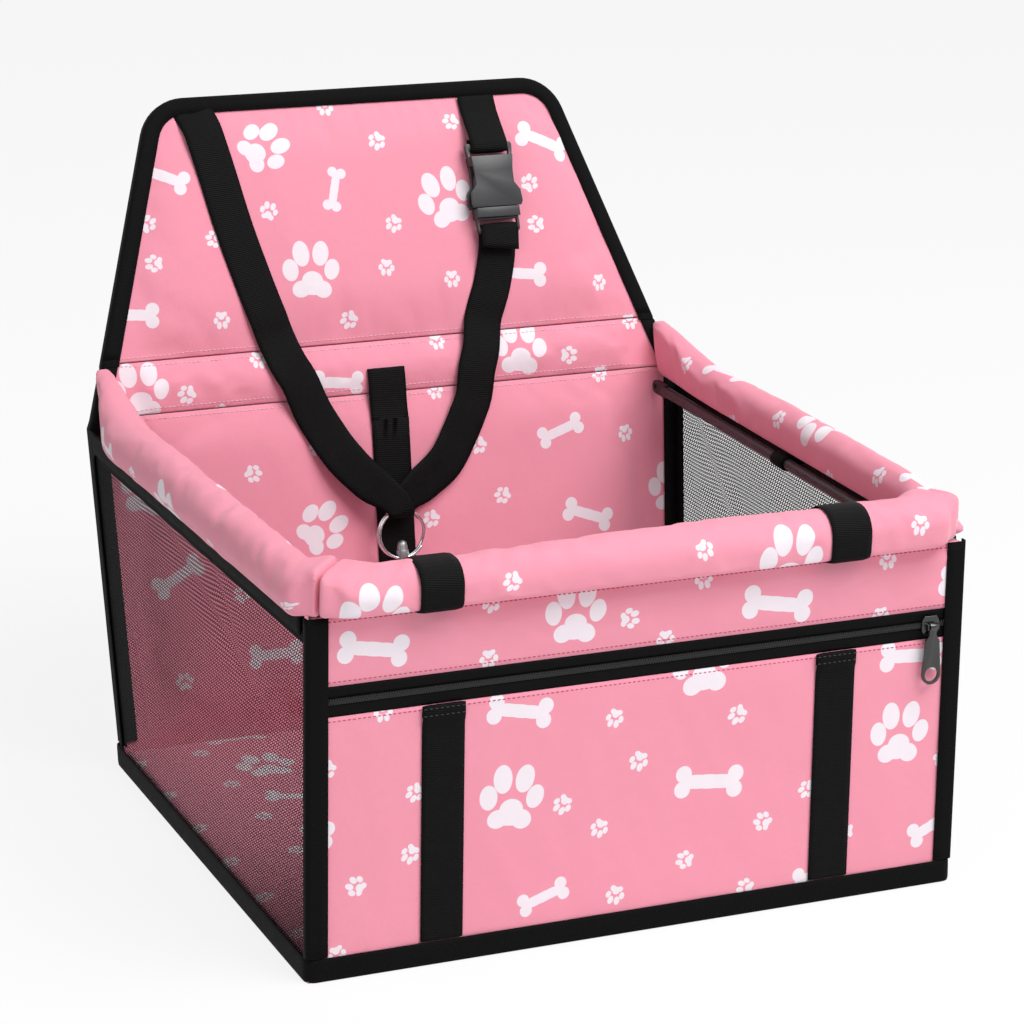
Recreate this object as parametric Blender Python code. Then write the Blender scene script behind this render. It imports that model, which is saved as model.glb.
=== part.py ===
"""A collapsible dog car seat: a padded fabric basket with mesh sides, a folding back and a strap.

Units are metres. X runs across the seat, Y from the front to the back and Z up. The origin is the
centre of the base underside, which stands on Z = 0.
"""

from math import atan, cos, pi, radians, sin, sqrt, tan

import bmesh
import bpy
from mathutils import Matrix, Vector

for leftover in list(bpy.data.objects):
    bpy.data.objects.remove(leftover)

# Overall sizes of the sewn basket
seat_width = 0.400
base_depth = 0.326
side_draw = 0.016
rail_level = 0.206
front_lean = radians(2.6)
back_lean = radians(11.15)
flap_lean = radians(22.86)
lower_seam_level = 0.2117
fold_level = 0.2417
flap_top_level = 0.390
flap_draw = 0.128
flap_corner_radius = 0.030

# What every sewn joint keeps between two layers
gap = 0.0003
seam_gap = 0.0004
fabric = 0.0010

# Tape and webbing
tape_thickness = 0.0006
tape_slack = 0.0005
binding_thickness = 0.0015
binding_leg = 0.0090
bottom_binding_height = 0.0138
webbing_width = 0.0252
webbing_thickness = 0.0013

seat_half = seat_width / 2
base_back_half = (seat_width - side_draw) / 2
flap_top_half = (seat_width - flap_draw) / 2
front_foot = -base_depth / 2
back_foot = base_depth / 2
round_sides = 12


# Helpers for materials and solids
def material(name, colour, roughness, metallic=0.0):
    """A plain surface of one colour."""
    surface = bpy.data.materials.new(name)
    surface.use_nodes = True
    shader = surface.node_tree.nodes["Principled BSDF"]
    shader.inputs["Base Color"].default_value = (*colour, 1.0)
    shader.inputs["Roughness"].default_value = roughness
    shader.inputs["Metallic"].default_value = metallic
    surface.diffuse_color = (*colour, 1.0)
    return surface


printed_fabric = material("printed_fabric", (0.86, 0.29, 0.39), 0.80)
plain_fabric = material("plain_fabric", (0.82, 0.27, 0.37), 0.85)
black_tape = material("black_tape", (0.020, 0.020, 0.022), 0.75)
black_webbing = material("black_webbing", (0.016, 0.016, 0.018), 0.70)
black_mesh = material("black_mesh", (0.025, 0.025, 0.027), 0.80)
foam = material("foam", (0.80, 0.80, 0.77), 0.95)
stiff_board = material("stiff_board", (0.55, 0.55, 0.53), 0.80)
black_plastic = material("black_plastic", (0.030, 0.032, 0.034), 0.40)
black_enamel = material("black_enamel", (0.012, 0.012, 0.013), 0.28, 0.3)
rod_plastic = material("rod_plastic", (0.045, 0.025, 0.024), 0.30)
bright_steel = material("bright_steel", (0.72, 0.72, 0.73), 0.22, 1.0)
grey_zinc = material("grey_zinc", (0.36, 0.37, 0.38), 0.38, 0.9)


def solid(name, surface, points, faces, smooth_angle=None):
    """One named object from points and faces, with its normals made to face out."""
    mesh = bpy.data.meshes.new(name)
    mesh.from_pydata([tuple(point) for point in points], [], faces)
    shape = bmesh.new()
    shape.from_mesh(mesh)
    bmesh.ops.recalc_face_normals(shape, faces=shape.faces)
    shape.to_mesh(mesh)
    shape.free()
    mesh.materials.append(surface)
    if smooth_angle is not None:
        mesh.shade_smooth()
        mesh.set_sharp_from_angle(angle=smooth_angle)
    piece = bpy.data.objects.new(name, mesh)
    bpy.context.scene.collection.objects.link(piece)
    return piece


def spread(start, end, count):
    """count + 1 even steps from start to end."""
    return [start + (end - start) * step / count for step in range(count + 1)]


def value_at(amount, *place):
    """An offset that is either one number or a function of the place."""
    return amount(*place) if callable(amount) else amount


def grid_body(name, surface, columns, rows, place, is_open=None, smooth_angle=None):
    """A closed body with a back face (0) and a front face (1); is_open leaves a cell through it."""
    def index(column, row, face):
        return (row * columns + column) * 2 + face

    def kept(column, row):
        inside = 0 <= column < columns - 1 and 0 <= row < rows - 1
        return inside and not (is_open and is_open(column, row))

    points = [
        place(column, row, face) for row in range(rows) for column in range(columns) for face in (0, 1)
    ]
    faces = []
    for row in range(rows - 1):
        for column in range(columns - 1):
            if not kept(column, row):
                continue
            corners = [(column, row), (column + 1, row), (column + 1, row + 1), (column, row + 1)]
            faces.append([index(*corner, 1) for corner in corners])
            faces.append([index(*corner, 0) for corner in reversed(corners)])
            beside = [(column, row - 1), (column + 1, row), (column, row + 1), (column - 1, row)]
            for edge, neighbour in enumerate(beside):
                if not kept(*neighbour):
                    start, end = corners[edge], corners[(edge + 1) % len(corners)]
                    faces.append([index(*start, 0), index(*end, 0), index(*end, 1), index(*start, 1)])
    return solid(name, surface, points, faces, smooth_angle)


def panel(name, surface, at, rows, back, front, shares=(0.0, 1.0), inset=None, smooth_angle=None):
    """A sheet on a wall. rows holds (up, left, right); back and front are offsets or functions.

    With an inset, the columns at the shares lie between two more that are the inset in from the
    edges, which keeps the borders flat.
    """
    def place(column, row, face):
        up, left, right = rows[row]
        margin = value_at(inset, right) if inset else 0
        places = [left + margin + (right - left - 2 * margin) * share for share in shares]
        if inset:
            places = [left] + places + [right]
        x = places[column]
        return at(x, up, value_at((back, front)[face], x, up, left, right))

    columns = len(shares) + (2 if inset else 0)
    return grid_body(name, surface, columns, len(rows), place, smooth_angle=smooth_angle)


def sweep(name, surface, frames, section, bore=None, closed=False, smooth_angle=None):
    """A section carried along frames of (point, side, lift); bore is a like section cut through."""
    rings = [section] + ([bore] if bore else [])
    count = len(section)
    points, faces = [], []
    for point, side, lift in frames:
        for ring in rings:
            points.extend(point + side * across + lift * up for across, up in ring)
    step = count * len(rings)
    spans = len(frames) if closed else len(frames) - 1
    for ring in range(len(rings)):
        for span in range(spans):
            here = span * step + ring * count
            there = (span + 1) % len(frames) * step + ring * count
            for corner in range(count):
                after = (corner + 1) % count
                quad = [here + corner, here + after, there + after, there + corner]
                faces.append(quad if ring == 0 else quad[::-1])
    if not closed:
        for start, turned in ((0, True), ((len(frames) - 1) * step, False)):
            if bore:
                for corner in range(count):
                    after = (corner + 1) % count
                    quad = [start + corner, start + after, start + count + after, start + count + corner]
                    faces.append(quad[::-1] if turned else quad)
            else:
                cap = [start + corner for corner in range(count)]
                faces.append(cap[::-1] if turned else cap)
    return solid(name, surface, points, faces, smooth_angle)


def circle(radius, sides=round_sides):
    return [
        (radius * cos(2 * pi * step / sides), radius * sin(2 * pi * step / sides))
        for step in range(sides)
    ]


def rectangle(left, right, low, high):
    return [(left, low), (right, low), (right, high), (left, high)]


def rounded_rectangle(width, height, radius, steps=3):
    """Centred on zero, with its corners as arcs."""
    corners = []
    for quarter, (across, up) in enumerate(((1, 1), (-1, 1), (-1, -1), (1, -1))):
        centre_x = across * (width / 2 - radius)
        centre_y = up * (height / 2 - radius)
        for step in range(steps + 1):
            angle = pi / 2 * (quarter + step / steps)
            corners.append((centre_x + radius * cos(angle), centre_y + radius * sin(angle)))
    return corners


def u_section(leg, low, high, wall):
    """Tape folded round a sheet that lies between low and high, whose edge is at zero."""
    outer, inner = gap + wall, gap
    return [
        (leg, high + outer), (-outer, high + outer), (-outer, low - outer), (leg, low - outer),
        (leg, low - inner), (-inner, low - inner), (-inner, high + inner), (leg, high + inner),
    ]


def mitre(first, second):
    """The corner direction of two unit vectors, long enough that both offsets stay true."""
    return (first + second) / (1 + first.dot(second))


def carve(piece, cutter, operation="DIFFERENCE"):
    """Cuts or joins with a helper, which stays in the scene as a guide."""
    cutter.hide_render = True
    cutter.display_type = "WIRE"
    change = piece.modifiers.new(cutter.name, "BOOLEAN")
    change.operation = operation
    change.solver = "EXACT"
    change.object = cutter


X_AXIS, Y_AXIS, Z_AXIS = Vector((1, 0, 0)), Vector((0, 1, 0)), Vector((0, 0, 1))


# The walls that everything is sewn to
class Wall:
    """A flat wall across the seat: x along its width, up its slope, out square to it, forwards."""

    def __init__(self, foot_y, foot_z, lean):
        self.foot = Vector((0, foot_y, foot_z))
        self.up = Vector((0, sin(lean), cos(lean)))
        self.out = Vector((0, -cos(lean), sin(lean)))

    def at(self, x, up, out):
        return self.foot + X_AXIS * x + self.up * up + self.out * out

    def up_at(self, z):
        return (z - self.foot.z) / self.up.z

    def y_at(self, z):
        return self.foot.y + self.up.y * self.up_at(z)


front_wall = Wall(front_foot, 0, front_lean)
lower_back = Wall(back_foot, 0, back_lean)
fold_band = Wall(lower_back.y_at(lower_seam_level), lower_seam_level, flap_lean)
flap_wall = Wall(fold_band.y_at(fold_level), fold_level, flap_lean)
lower_back_length = lower_back.up_at(lower_seam_level)
fold_band_length = fold_band.up_at(fold_level)
flap_length = flap_wall.up_at(flap_top_level)
front_length = front_wall.up_at(rail_level)


def half_width(z):
    """Half the width of the back at a height: nearly straight to the rails, then tapering."""
    if z <= rail_level:
        return base_back_half + (seat_half - base_back_half) * z / rail_level
    return seat_half + (flap_top_half - seat_half) * (z - rail_level) / (flap_top_level - rail_level)


def side_point(side, y, z, out):
    """A point on a side wall, which draws in towards its lower back corner."""
    front_y = front_wall.y_at(z)
    along = (y - front_y) / (lower_back.y_at(z) - front_y)
    drawn_in = (seat_half - base_back_half) * along * (1 - z / rail_level)
    return Vector((side * (seat_half - drawn_in + out), y, z))


def along_side(side, y, z, direction, reach):
    """A direction in the plane of travel, laid along the side wall."""
    there = side_point(side, y + direction.y * reach, z + direction.z * reach, 0)
    return (there - side_point(side, y, z, 0)) / reach


# Layers of the back, measured out from the face of the lining
lining_thickness = 0.0008
back_board_thickness = 0.0040
cover_thickness = 0.0010
board_front = -lining_thickness - gap
board_back = board_front - back_board_thickness
cover_front = board_back - gap
cover_back = cover_front - cover_thickness
back_edge = tape_thickness + tape_slack + gap
tape_wall = back_edge - gap
pad_clearance = 0.032
pad_clear_half = seat_half - pad_clearance
base_cover_thickness = 0.0015
wall_start = base_cover_thickness + gap
back_start = wall_start / cos(back_lean) - cover_back * tan(back_lean)
pad_shares = (0.0, 0.05, 0.11, 0.5, 0.89, 0.95, 1.0)


def swell(distance, ramp):
    """Rises from 0 at a seam to 1 one ramp away from it."""
    return sin(pi / 2 * max(0.0, min(1.0, distance / ramp)))


def rail_margin(right):
    """The flat border of a back pad, as far as the side rails and their rods reach over it."""
    return right - pad_clear_half


def tape_margin(right):
    return binding_leg + gap


def padding(height, ramp, low, high, margin):
    """The crown of a padded panel, which is flat in its borders."""
    def front(x, up, left, right):
        across = swell(right - margin(right) - abs(x), ramp)
        return height * across * swell(up - low, ramp) * swell(high - up, ramp)

    return front


def rows_between(wall, low, high, inset, shares, extra=()):
    """Rows across the back at shares of the height, each to the width of the back there."""
    rows = []
    for up in sorted([low + (high - low) * share for share in shares] + list(extra)):
        half = half_width(wall.at(0, up, 0).z) - inset
        rows.append((up, -half, half))
    return rows


# Heights of the layers of the base
base_board_thickness = 0.0030
base_pad_thickness = 0.0050
base_pad_crown = 0.0040
base_board_low = base_cover_thickness + gap
base_board_high = base_board_low + base_board_thickness
base_pad_low = base_board_high + gap
base_pad_edge = base_pad_low + base_pad_thickness
floor_high = base_pad_edge + base_pad_crown + gap


# Front wall: zipped pocket panel, strip above it, pocket back, stiffener and lining
pocket_thickness = 0.0012
pocket_back_thickness = 0.0008
front_board_thickness = 0.0035
front_lining_thickness = 0.0010
front_lining_crown = 0.0025
front_lining_ramp = 0.025
zip_low = 0.1500
zip_tape_height = 0.0064
zip_chain_height = 0.0034
zip_tape_thickness = 0.0007
zip_chain_thickness = 0.0022
zip_end_inset = 0.0080
side_clearance = 0.0030
front_half = seat_half - side_clearance
front_high = front_length - gap
zip_chain_low = zip_low + zip_tape_height + gap
zip_chain_high = zip_chain_low + zip_chain_height
zip_upper_low = zip_chain_high + gap
zip_high = zip_upper_low + zip_tape_height
pocket_back_front = -pocket_thickness - gap
front_board_front = pocket_back_front - pocket_back_thickness - gap
front_lining_front = front_board_front - front_board_thickness - gap
front_lining_back = front_lining_front - front_lining_thickness
front_start = wall_start / cos(front_lean) - front_lining_back * tan(front_lean)
zip_tape_front = -(pocket_thickness - zip_tape_thickness) / 2
zip_chain_front = zip_tape_front + (zip_chain_thickness - zip_tape_thickness) / 2
zip_chain_back = zip_chain_front - zip_chain_thickness + gap


def front_sheet(name, surface, low, high, back, front, half=front_half, shares=(0.0, 1.0)):
    rows = [(low + (high - low) * share, -half, half) for share in shares]
    return panel(name, surface, front_wall.at, rows, back, front, shares, smooth_angle=radians(35))


def lining_inner(x, up, left, right):
    near_side = min(x - left, right - x)
    near_end = min(up - floor_high, front_high - up)
    rise = swell(near_side, front_lining_ramp) * swell(near_end, front_lining_ramp)
    return front_lining_back - front_lining_crown * rise


front_sheet("pocket_panel", printed_fabric, front_start, zip_low - gap, -pocket_thickness, 0)
front_sheet("front_strip", printed_fabric, zip_high + gap, front_high, -pocket_thickness, 0)
front_sheet(
    "zip_tape_lower", black_tape, zip_low, zip_low + zip_tape_height,
    zip_tape_front - zip_tape_thickness, zip_tape_front,
)
front_sheet(
    "zip_tape_upper", black_tape, zip_upper_low, zip_high,
    zip_tape_front - zip_tape_thickness, zip_tape_front,
)
front_sheet(
    "zip_chain", black_plastic, zip_chain_low, zip_chain_high, -pocket_thickness, zip_chain_front,
    front_half - zip_end_inset,
)
front_sheet(
    "pocket_back", plain_fabric, front_start, front_high,
    pocket_back_front - pocket_back_thickness, pocket_back_front,
)
front_sheet(
    "front_board", stiff_board, front_start, front_high,
    front_board_front - front_board_thickness, front_board_front,
)
front_sheet(
    "front_lining", printed_fabric, front_start, front_high, lining_inner, front_lining_front,
    shares=pad_shares,
)

# Base: cover, stiffening board, padded floor and the tape round its edge
base_pad_ramp = 0.030
back_outer_foot = back_foot - cover_back / cos(back_lean)
front_stack = -front_lining_back / cos(front_lean) + base_pad_edge * tan(front_lean)


def base_sheet(name, surface, low, high, front_inset, back_y, side_inset, shares=(0.0, 1.0)):
    """A layer of the base between two heights, following the slight taper of the sides."""
    front_y = front_foot + front_inset

    def at(x, y, height):
        return Vector((x, y, height))

    rows = []
    for share in shares:
        y = front_y + (back_y - front_y) * share
        half = side_point(1, y, 0, -side_inset).x
        rows.append((y, -half, half))
    return panel(name, surface, at, rows, low, high, shares, smooth_angle=radians(35))


def floor_crown(x, y, left, right):
    near_side = min(x - left, right - x)
    near_end = min(y - front_foot - front_stack - gap, back_foot - gap - y)
    rise = swell(near_side, base_pad_ramp) * swell(near_end, base_pad_ramp)
    return base_pad_edge + base_pad_crown * rise


base_sheet("base_cover", plain_fabric, 0, base_cover_thickness, 0, back_outer_foot, 0)
base_sheet(
    "base_board", stiff_board, base_board_low, base_board_high,
    front_stack + gap, back_foot - gap, side_clearance,
)
base_sheet(
    "base_pad", printed_fabric, base_pad_low, floor_crown,
    front_stack + gap, back_foot - gap, side_clearance, pad_shares,
)


def base_edge():
    """Frames round the outside of the base, mitred at the corners and leaning with each wall."""
    corners = [
        (-1, front_foot, tan(front_lean)), (1, front_foot, tan(front_lean)),
        (1, back_outer_foot, tan(back_lean)), (-1, back_outer_foot, tan(back_lean)),
    ]
    points = [side_point(side, y, 0, 0) for side, y, lean in corners]
    frames = []
    for place, (side, y, lean) in enumerate(corners):
        before = (points[place] - points[place - 1]).normalized()
        after = (points[(place + 1) % len(corners)] - points[place]).normalized()
        outward = mitre(before.cross(Z_AXIS), after.cross(Z_AXIS))
        lift = along_side(side, y, 0, Vector((0, lean, 1)), bottom_binding_height)
        frames.append((points[place], outward, lift))
    return frames


sweep(
    "bottom_binding", black_tape, base_edge(),
    rectangle(gap, gap + binding_thickness, 0, bottom_binding_height), closed=True,
)

# Webbing straps sewn down the front, in line with the loops on the rail
front_strap_left_share = -0.610
front_strap_right_share = 0.595
front_strap_left_x = seat_half * front_strap_left_share
front_strap_right_x = seat_half * front_strap_right_share
strap_hem = 0.0070
strap_low = bottom_binding_height + gap
strap_high = zip_low - gap


def front_strap(name, centre):
    """The top end is turned under once, which makes the hem twice as thick."""
    left, right = centre - webbing_width / 2, centre + webbing_width / 2
    hem_low = strap_high - strap_hem
    rows = [(up, left, right) for up in (strap_low, hem_low, hem_low + gap, strap_high)]

    def front(x, up, left_edge, right_edge):
        layers = 1 if up <= hem_low else 2
        return gap + webbing_thickness * layers * (1.0 if layers == 1 else 0.8)

    panel(name, black_webbing, front_wall.at, rows, gap, front)


front_strap("front_strap_left", front_strap_left_x)
front_strap("front_strap_right", front_strap_right_x)


# Tape over the two front corners
def corner_binding(name, side):
    leg, outer, chamfer = binding_leg, gap + binding_thickness, binding_thickness / 2
    section = [
        (leg, -outer), (leg, -gap), (-gap, -gap), (-gap, leg), (-outer, leg),
        (-outer, chamfer - outer), (chamfer - outer, -outer),
    ]
    low = bottom_binding_height + gap
    frames = [
        (Vector((side * seat_half, front_wall.y_at(z), z)), X_AXIS * -side, Y_AXIS)
        for z in (low, rail_level - gap)
    ]
    sweep(name, black_tape, frames, section)


corner_binding("left_front_binding", -1)
corner_binding("right_front_binding", 1)

# Mesh sides and the tape folded over their top and back edges
mesh_thickness = 0.0008
mesh_bar = 0.0030
mesh_columns = 12
mesh_rows = 7
mesh_border = 0.0105
mesh_tape_leg = 0.0120
mesh_edge_clearance = 0.0022
mesh_tape_edge = tape_thickness + gap
mesh_top = rail_level - gap - mesh_tape_edge


def mesh_back_y(z):
    return lower_back.y_at(z) - mesh_edge_clearance / cos(back_lean) - mesh_tape_edge


def net_places(low, high, count):
    """Both edges of the net and both edges of every hole in it."""
    start, end = low + mesh_border, high - mesh_border
    pitch = (end - start + mesh_bar) / count
    places = [low]
    for hole in range(count):
        places.extend((start + hole * pitch, start + (hole + 1) * pitch - mesh_bar))
    return places + [high]


def mesh_side(name, side):
    heights = net_places(wall_start, mesh_top, mesh_rows)

    def place(column, row, face):
        z = heights[row]
        y = net_places(front_wall.y_at(z) + gap, mesh_back_y(z), mesh_columns)[column]
        return side_point(side, y, z, -mesh_thickness * (1 - face))

    def is_open(column, row):
        return column % 2 == 1 and row % 2 == 1

    grid_body(name, black_mesh, 2 * mesh_columns + 2, 2 * mesh_rows + 2, place, is_open)


def mesh_binding(name, side):
    """One tape from the foot of the back edge, round the top corner and along the rail."""
    front_end = front_wall.y_at(mesh_top) + binding_leg + 2 * gap
    low = bottom_binding_height + gap
    frames = []
    for y, z, inward in (
        (mesh_back_y(low), low, lower_back.out),
        (mesh_back_y(mesh_top), mesh_top, mitre(lower_back.out, -Z_AXIS)),
        (front_end, mesh_top, -Z_AXIS),
    ):
        laid = along_side(side, y, z, inward, mesh_tape_leg)
        frames.append((side_point(side, y, z, 0), laid, X_AXIS * side))
    sweep(name, black_tape, frames, u_section(mesh_tape_leg, -mesh_thickness, 0, tape_thickness))


for side_name, side in (("left", -1), ("right", 1)):
    mesh_side(side_name + "_mesh", side)
    mesh_binding(side_name + "_mesh_binding", side)

# Padded rails: fabric sleeves over foam, mitred at the front corners
rail_thickness = 0.0290
rail_height = 0.0300
rail_top_radius = 0.0135
rail_foot_radius = 0.0045
rail_sleeve_wall = 0.0010
rail_back_clearance = 0.0022
front_rail_overhang = 0.0125
side_rail_overhang = 0.0050
rail_foot = rail_level + gap
front_rail_y = front_wall.y_at(rail_level) - front_rail_overhang
side_rail_half = seat_half + side_rail_overhang
front_rod_radius = 0.0040
front_rod_sides = 10


def rail_section(inset, steps=3):
    """Measured inwards from the outer face and up from the underside; the top is the rounder."""
    size = (rail_thickness - 2 * inset, rail_height - 2 * inset)
    top = rounded_rectangle(*size, rail_top_radius - inset, steps)
    foot = rounded_rectangle(*size, rail_foot_radius - inset, steps)
    half = len(top) // 2
    shape = top[:half] + foot[half:]
    return [(across + rail_thickness / 2, up + rail_height / 2) for across, up in shape]


def rail_pieces(name, frames, rod_bore=None):
    outer, inner = rail_section(0), rail_section(rail_sleeve_wall)
    sweep(name + "_sleeve", printed_fabric, frames, outer, inner, smooth_angle=radians(50))
    core = rail_section(rail_sleeve_wall + gap)
    sweep(name + "_foam", foam, frames, core, rod_bore)


def front_rail_frames():
    return [
        (Vector((-side_rail_half + seam_gap, front_rail_y, rail_foot)), X_AXIS + Y_AXIS, Z_AXIS),
        (Vector((side_rail_half - seam_gap, front_rail_y, rail_foot)), Y_AXIS - X_AXIS, Z_AXIS),
    ]


def side_rail_frames(side):
    """From the mitred corner to the sloping face of the back."""
    lean = Vector((0, sin(flap_lean) / cos(flap_lean), 1))
    end_y = fold_band.y_at(rail_foot) - rail_back_clearance / cos(flap_lean)
    outer = X_AXIS * side * side_rail_half
    inward = X_AXIS * -side
    return [
        (outer + Vector((0, front_rail_y + seam_gap, rail_foot)), inward + Y_AXIS, Z_AXIS),
        (outer + Vector((0, end_y, rail_foot)), inward, lean),
    ]


bore = [
    (across + rail_thickness / 2, up + rail_height / 2)
    for across, up in circle(front_rod_radius + gap, 16)
]
rail_pieces("front_rail", front_rail_frames(), bore)
rail_pieces("left_rail", side_rail_frames(-1))
rail_pieces("right_rail", side_rail_frames(1))
front_rod_half = side_rail_half - rail_thickness
front_rod_centre = Vector((0, front_rail_y + rail_thickness / 2, rail_foot + rail_height / 2))
sweep(
    "front_rod", rod_plastic,
    [(front_rod_centre + X_AXIS * x, Y_AXIS, Z_AXIS) for x in (-front_rod_half, front_rod_half)],
    circle(front_rod_radius, front_rod_sides), smooth_angle=radians(60),
)

# Stiffening rods under the side rails, each with a flattened end and a tab that carries it
rod_radius = 0.0034
rod_inset = 0.0185
rod_drop = 0.0052
rod_front_clearance = 0.0010
lug_length = 0.0150
lug_height = 0.0086
lug_thickness = 0.0024
lug_hole_radius = 0.0017
lug_overlap = 0.0030
rod_back_clearance = 0.0025
rod_tab_length = 0.0140
rod_tab_share = 0.50
tab_angle = radians(57)
rod_z = rail_level - rod_drop
rod_front_y = front_wall.y_at(rod_z) - front_lining_back / cos(front_lean) + rod_front_clearance
rod_back_y = lower_back.y_at(rod_z) - rod_back_clearance


def side_rod(name, side):
    x = side * (seat_half - rod_inset)
    round_end = rod_back_y - lug_length
    ends = [(Vector((x, y, rod_z)), X_AXIS, Z_AXIS) for y in (rod_front_y, round_end)]
    rod = sweep(name, rod_plastic, ends, circle(rod_radius), smooth_angle=radians(60))
    flat = lug_height / 2
    outline = [(round_end - lug_overlap, -flat), (rod_back_y - flat, -flat)]
    for step in spread(-pi / 3, pi / 3, 4):
        outline.append((rod_back_y - flat + flat * cos(step), flat * sin(step)))
    outline += [(rod_back_y - flat, flat), (round_end - lug_overlap, flat)]
    faces_of_lug = [
        (Vector((x + out, 0, rod_z)), Y_AXIS, Z_AXIS)
        for out in (-lug_thickness / 2, lug_thickness / 2)
    ]
    lug = sweep(name + "_lug_guide", rod_plastic, faces_of_lug, outline)
    carve(rod, lug, "UNION")
    hole_ends = [
        (Vector((x + out, rod_back_y - flat, rod_z)), Y_AXIS, Z_AXIS)
        for out in (-lug_thickness, lug_thickness)
    ]
    carve(rod, sweep(name + "_hole_guide", rod_plastic, hole_ends, circle(lug_hole_radius)))


def rod_tab(name, side):
    """A loop of tape round the rod, whose two tails are sewn to the tape along the mesh."""
    x = side * (seat_half - rod_inset)
    middle = rod_front_y + (rod_back_y - rod_front_y) * rod_tab_share
    inner = rod_radius + gap
    outer = inner + tape_thickness
    slit = gap / 2
    fold = slit + tape_thickness
    tail = rod_inset - mesh_thickness - tape_thickness - 2 * gap
    inner_loop = [
        (inner * cos(a), inner * sin(a)) for a in spread(tab_angle, 2 * pi - tab_angle, round_sides)
    ]
    outer_loop = [
        (outer * cos(a), outer * sin(a)) for a in spread(2 * pi - tab_angle, tab_angle, round_sides)
    ]
    inner_meet = (inner - slit * sin(tab_angle)) / cos(tab_angle)
    outer_meet = (outer - fold * sin(tab_angle)) / cos(tab_angle)
    section = (
        [(inner_meet, slit)] + inner_loop + [(inner_meet, -slit), (tail, -slit), (tail, -fold)]
        + [(outer_meet, -fold)] + outer_loop + [(outer_meet, fold), (tail, fold), (tail, slit)]
    )
    frames = [
        (Vector((x, middle + y, rod_z)), X_AXIS * side, Z_AXIS)
        for y in (-rod_tab_length / 2, rod_tab_length / 2)
    ]
    sweep(name, black_tape, frames, section)


for side_name, side in (("left", -1), ("right", 1)):
    side_rod(side_name + "_rod", side)
    rod_tab(side_name + "_rod_tab", side)

# Webbing loops over the front rail
rail_loop_left_share = -0.6445
rail_loop_right_share = 0.5955
rail_loop_left_x = seat_half * rail_loop_left_share
rail_loop_right_x = seat_half * rail_loop_right_share
loop_steps = 5
loop_end_share = 0.18


def rail_loop(name, centre):
    """Up the inner face of the rail, over its top, down in front and under it to the seam."""
    inner, outer = rail_section(-gap, loop_steps), rail_section(-gap - webbing_thickness, loop_steps)
    low_up = rail_height * loop_end_share
    over = 3 * (loop_steps + 1)
    ends = front_rail_overhang - gap
    inner_path = [(inner[0][0], low_up)] + inner[:over] + [(ends, inner[over - 1][1])]
    outer_path = [(outer[0][0], low_up)] + outer[:over] + [(ends, outer[over - 1][1])]
    section = inner_path + outer_path[::-1]
    frames = [
        (Vector((centre + x, front_rail_y, rail_foot)), Y_AXIS, Z_AXIS)
        for x in (-webbing_width / 2, webbing_width / 2)
    ]
    sweep(name, black_webbing, frames, section, smooth_angle=radians(40))


rail_loop("rail_loop_left", rail_loop_left_x)
rail_loop("rail_loop_right", rail_loop_right_x)

# Lower back and the padded band below the fold
lower_crown = 0.0045
lower_ramp = 0.030
band_crown = 0.0042
band_ramp = fold_band_length / 2
fold_relief = 0.0023
pad_rows = (0.0, 0.06, 0.14, 0.5, 0.86, 0.94, 1.0)
band_rows = (0.0, 0.16, 0.33, 0.5, 0.67, 0.84, 1.0)
seam_half_gap = gap / 2
lining_low = floor_high
lining_high = lower_back_length - seam_half_gap
band_high = fold_band_length - fold_relief
band_pad_high = fold_band_length - gap

rail_row = lower_back.up_at(rail_level)
lower_pad = padding(lower_crown, lower_ramp, lining_low, lining_high, rail_margin)
band_pad = padding(band_crown, band_ramp, 0, band_pad_high, rail_margin)

panel(
    "back_lining", printed_fabric, lower_back.at,
    rows_between(lower_back, back_start, lining_high, back_edge, pad_rows, [rail_row]),
    -lining_thickness, lower_pad, pad_shares, rail_margin, radians(35),
)
panel(
    "fold_band_pad", printed_fabric, fold_band.at,
    rows_between(fold_band, seam_half_gap, band_pad_high, back_edge, band_rows),
    -lining_thickness, band_pad, pad_shares, rail_margin, radians(35),
)


def bent_sheet(name, surface, back, front):
    """A layer that runs up the lower back and bends into the band below the fold."""
    bend = mitre(lower_back.out, fold_band.out)
    places = [
        (lower_back, back_start, lower_back.out), (lower_back, rail_row, lower_back.out),
        (lower_back, lower_back_length, bend), (fold_band, band_high, fold_band.out),
    ]

    def place(column, row, face):
        wall, up, out = places[row]
        foot = wall.at(0, up, 0)
        half = half_width(foot.z) - back_edge
        return foot + X_AXIS * half * (2 * column - 1) + out * (back, front)[face]

    grid_body(name, surface, 2, len(places), place)


bent_sheet("back_board", stiff_board, board_back, board_front)
bent_sheet("back_cover", plain_fabric, cover_back, cover_front)


def back_binding(name, side):
    bend = mitre(lower_back.out, fold_band.out)
    low = lower_back.up_at(bottom_binding_height + gap) + (back_edge - cover_back) * tan(back_lean)
    frames = []
    for wall, up, out in (
        (lower_back, low, lower_back.out), (lower_back, rail_row, lower_back.out),
        (lower_back, lower_back_length, bend), (fold_band, band_high, fold_band.out),
    ):
        foot = wall.at(0, up, 0)
        edge = X_AXIS * side * (half_width(foot.z) - back_edge)
        frames.append((foot + edge, X_AXIS * -side, out))
    sweep(name, black_tape, frames, u_section(binding_leg, cover_back, 0, tape_wall))


back_binding("left_back_binding", -1)
back_binding("right_back_binding", 1)

# Flap above the fold: lining, board, cover and the tape round its edge
flap_crown = 0.0050
flap_ramp = 0.034
flap_taper = (half_width(fold_level) - flap_top_half) / flap_length
flap_slope = sqrt(1 + flap_taper**2)
corner_up = flap_length - flap_corner_radius
corner_x = half_width(fold_level) - flap_taper * corner_up - flap_corner_radius * flap_slope
corner_steps = 5
flap_row_shares = (0.0, 0.08, 0.2, 0.5, 0.8)


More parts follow.
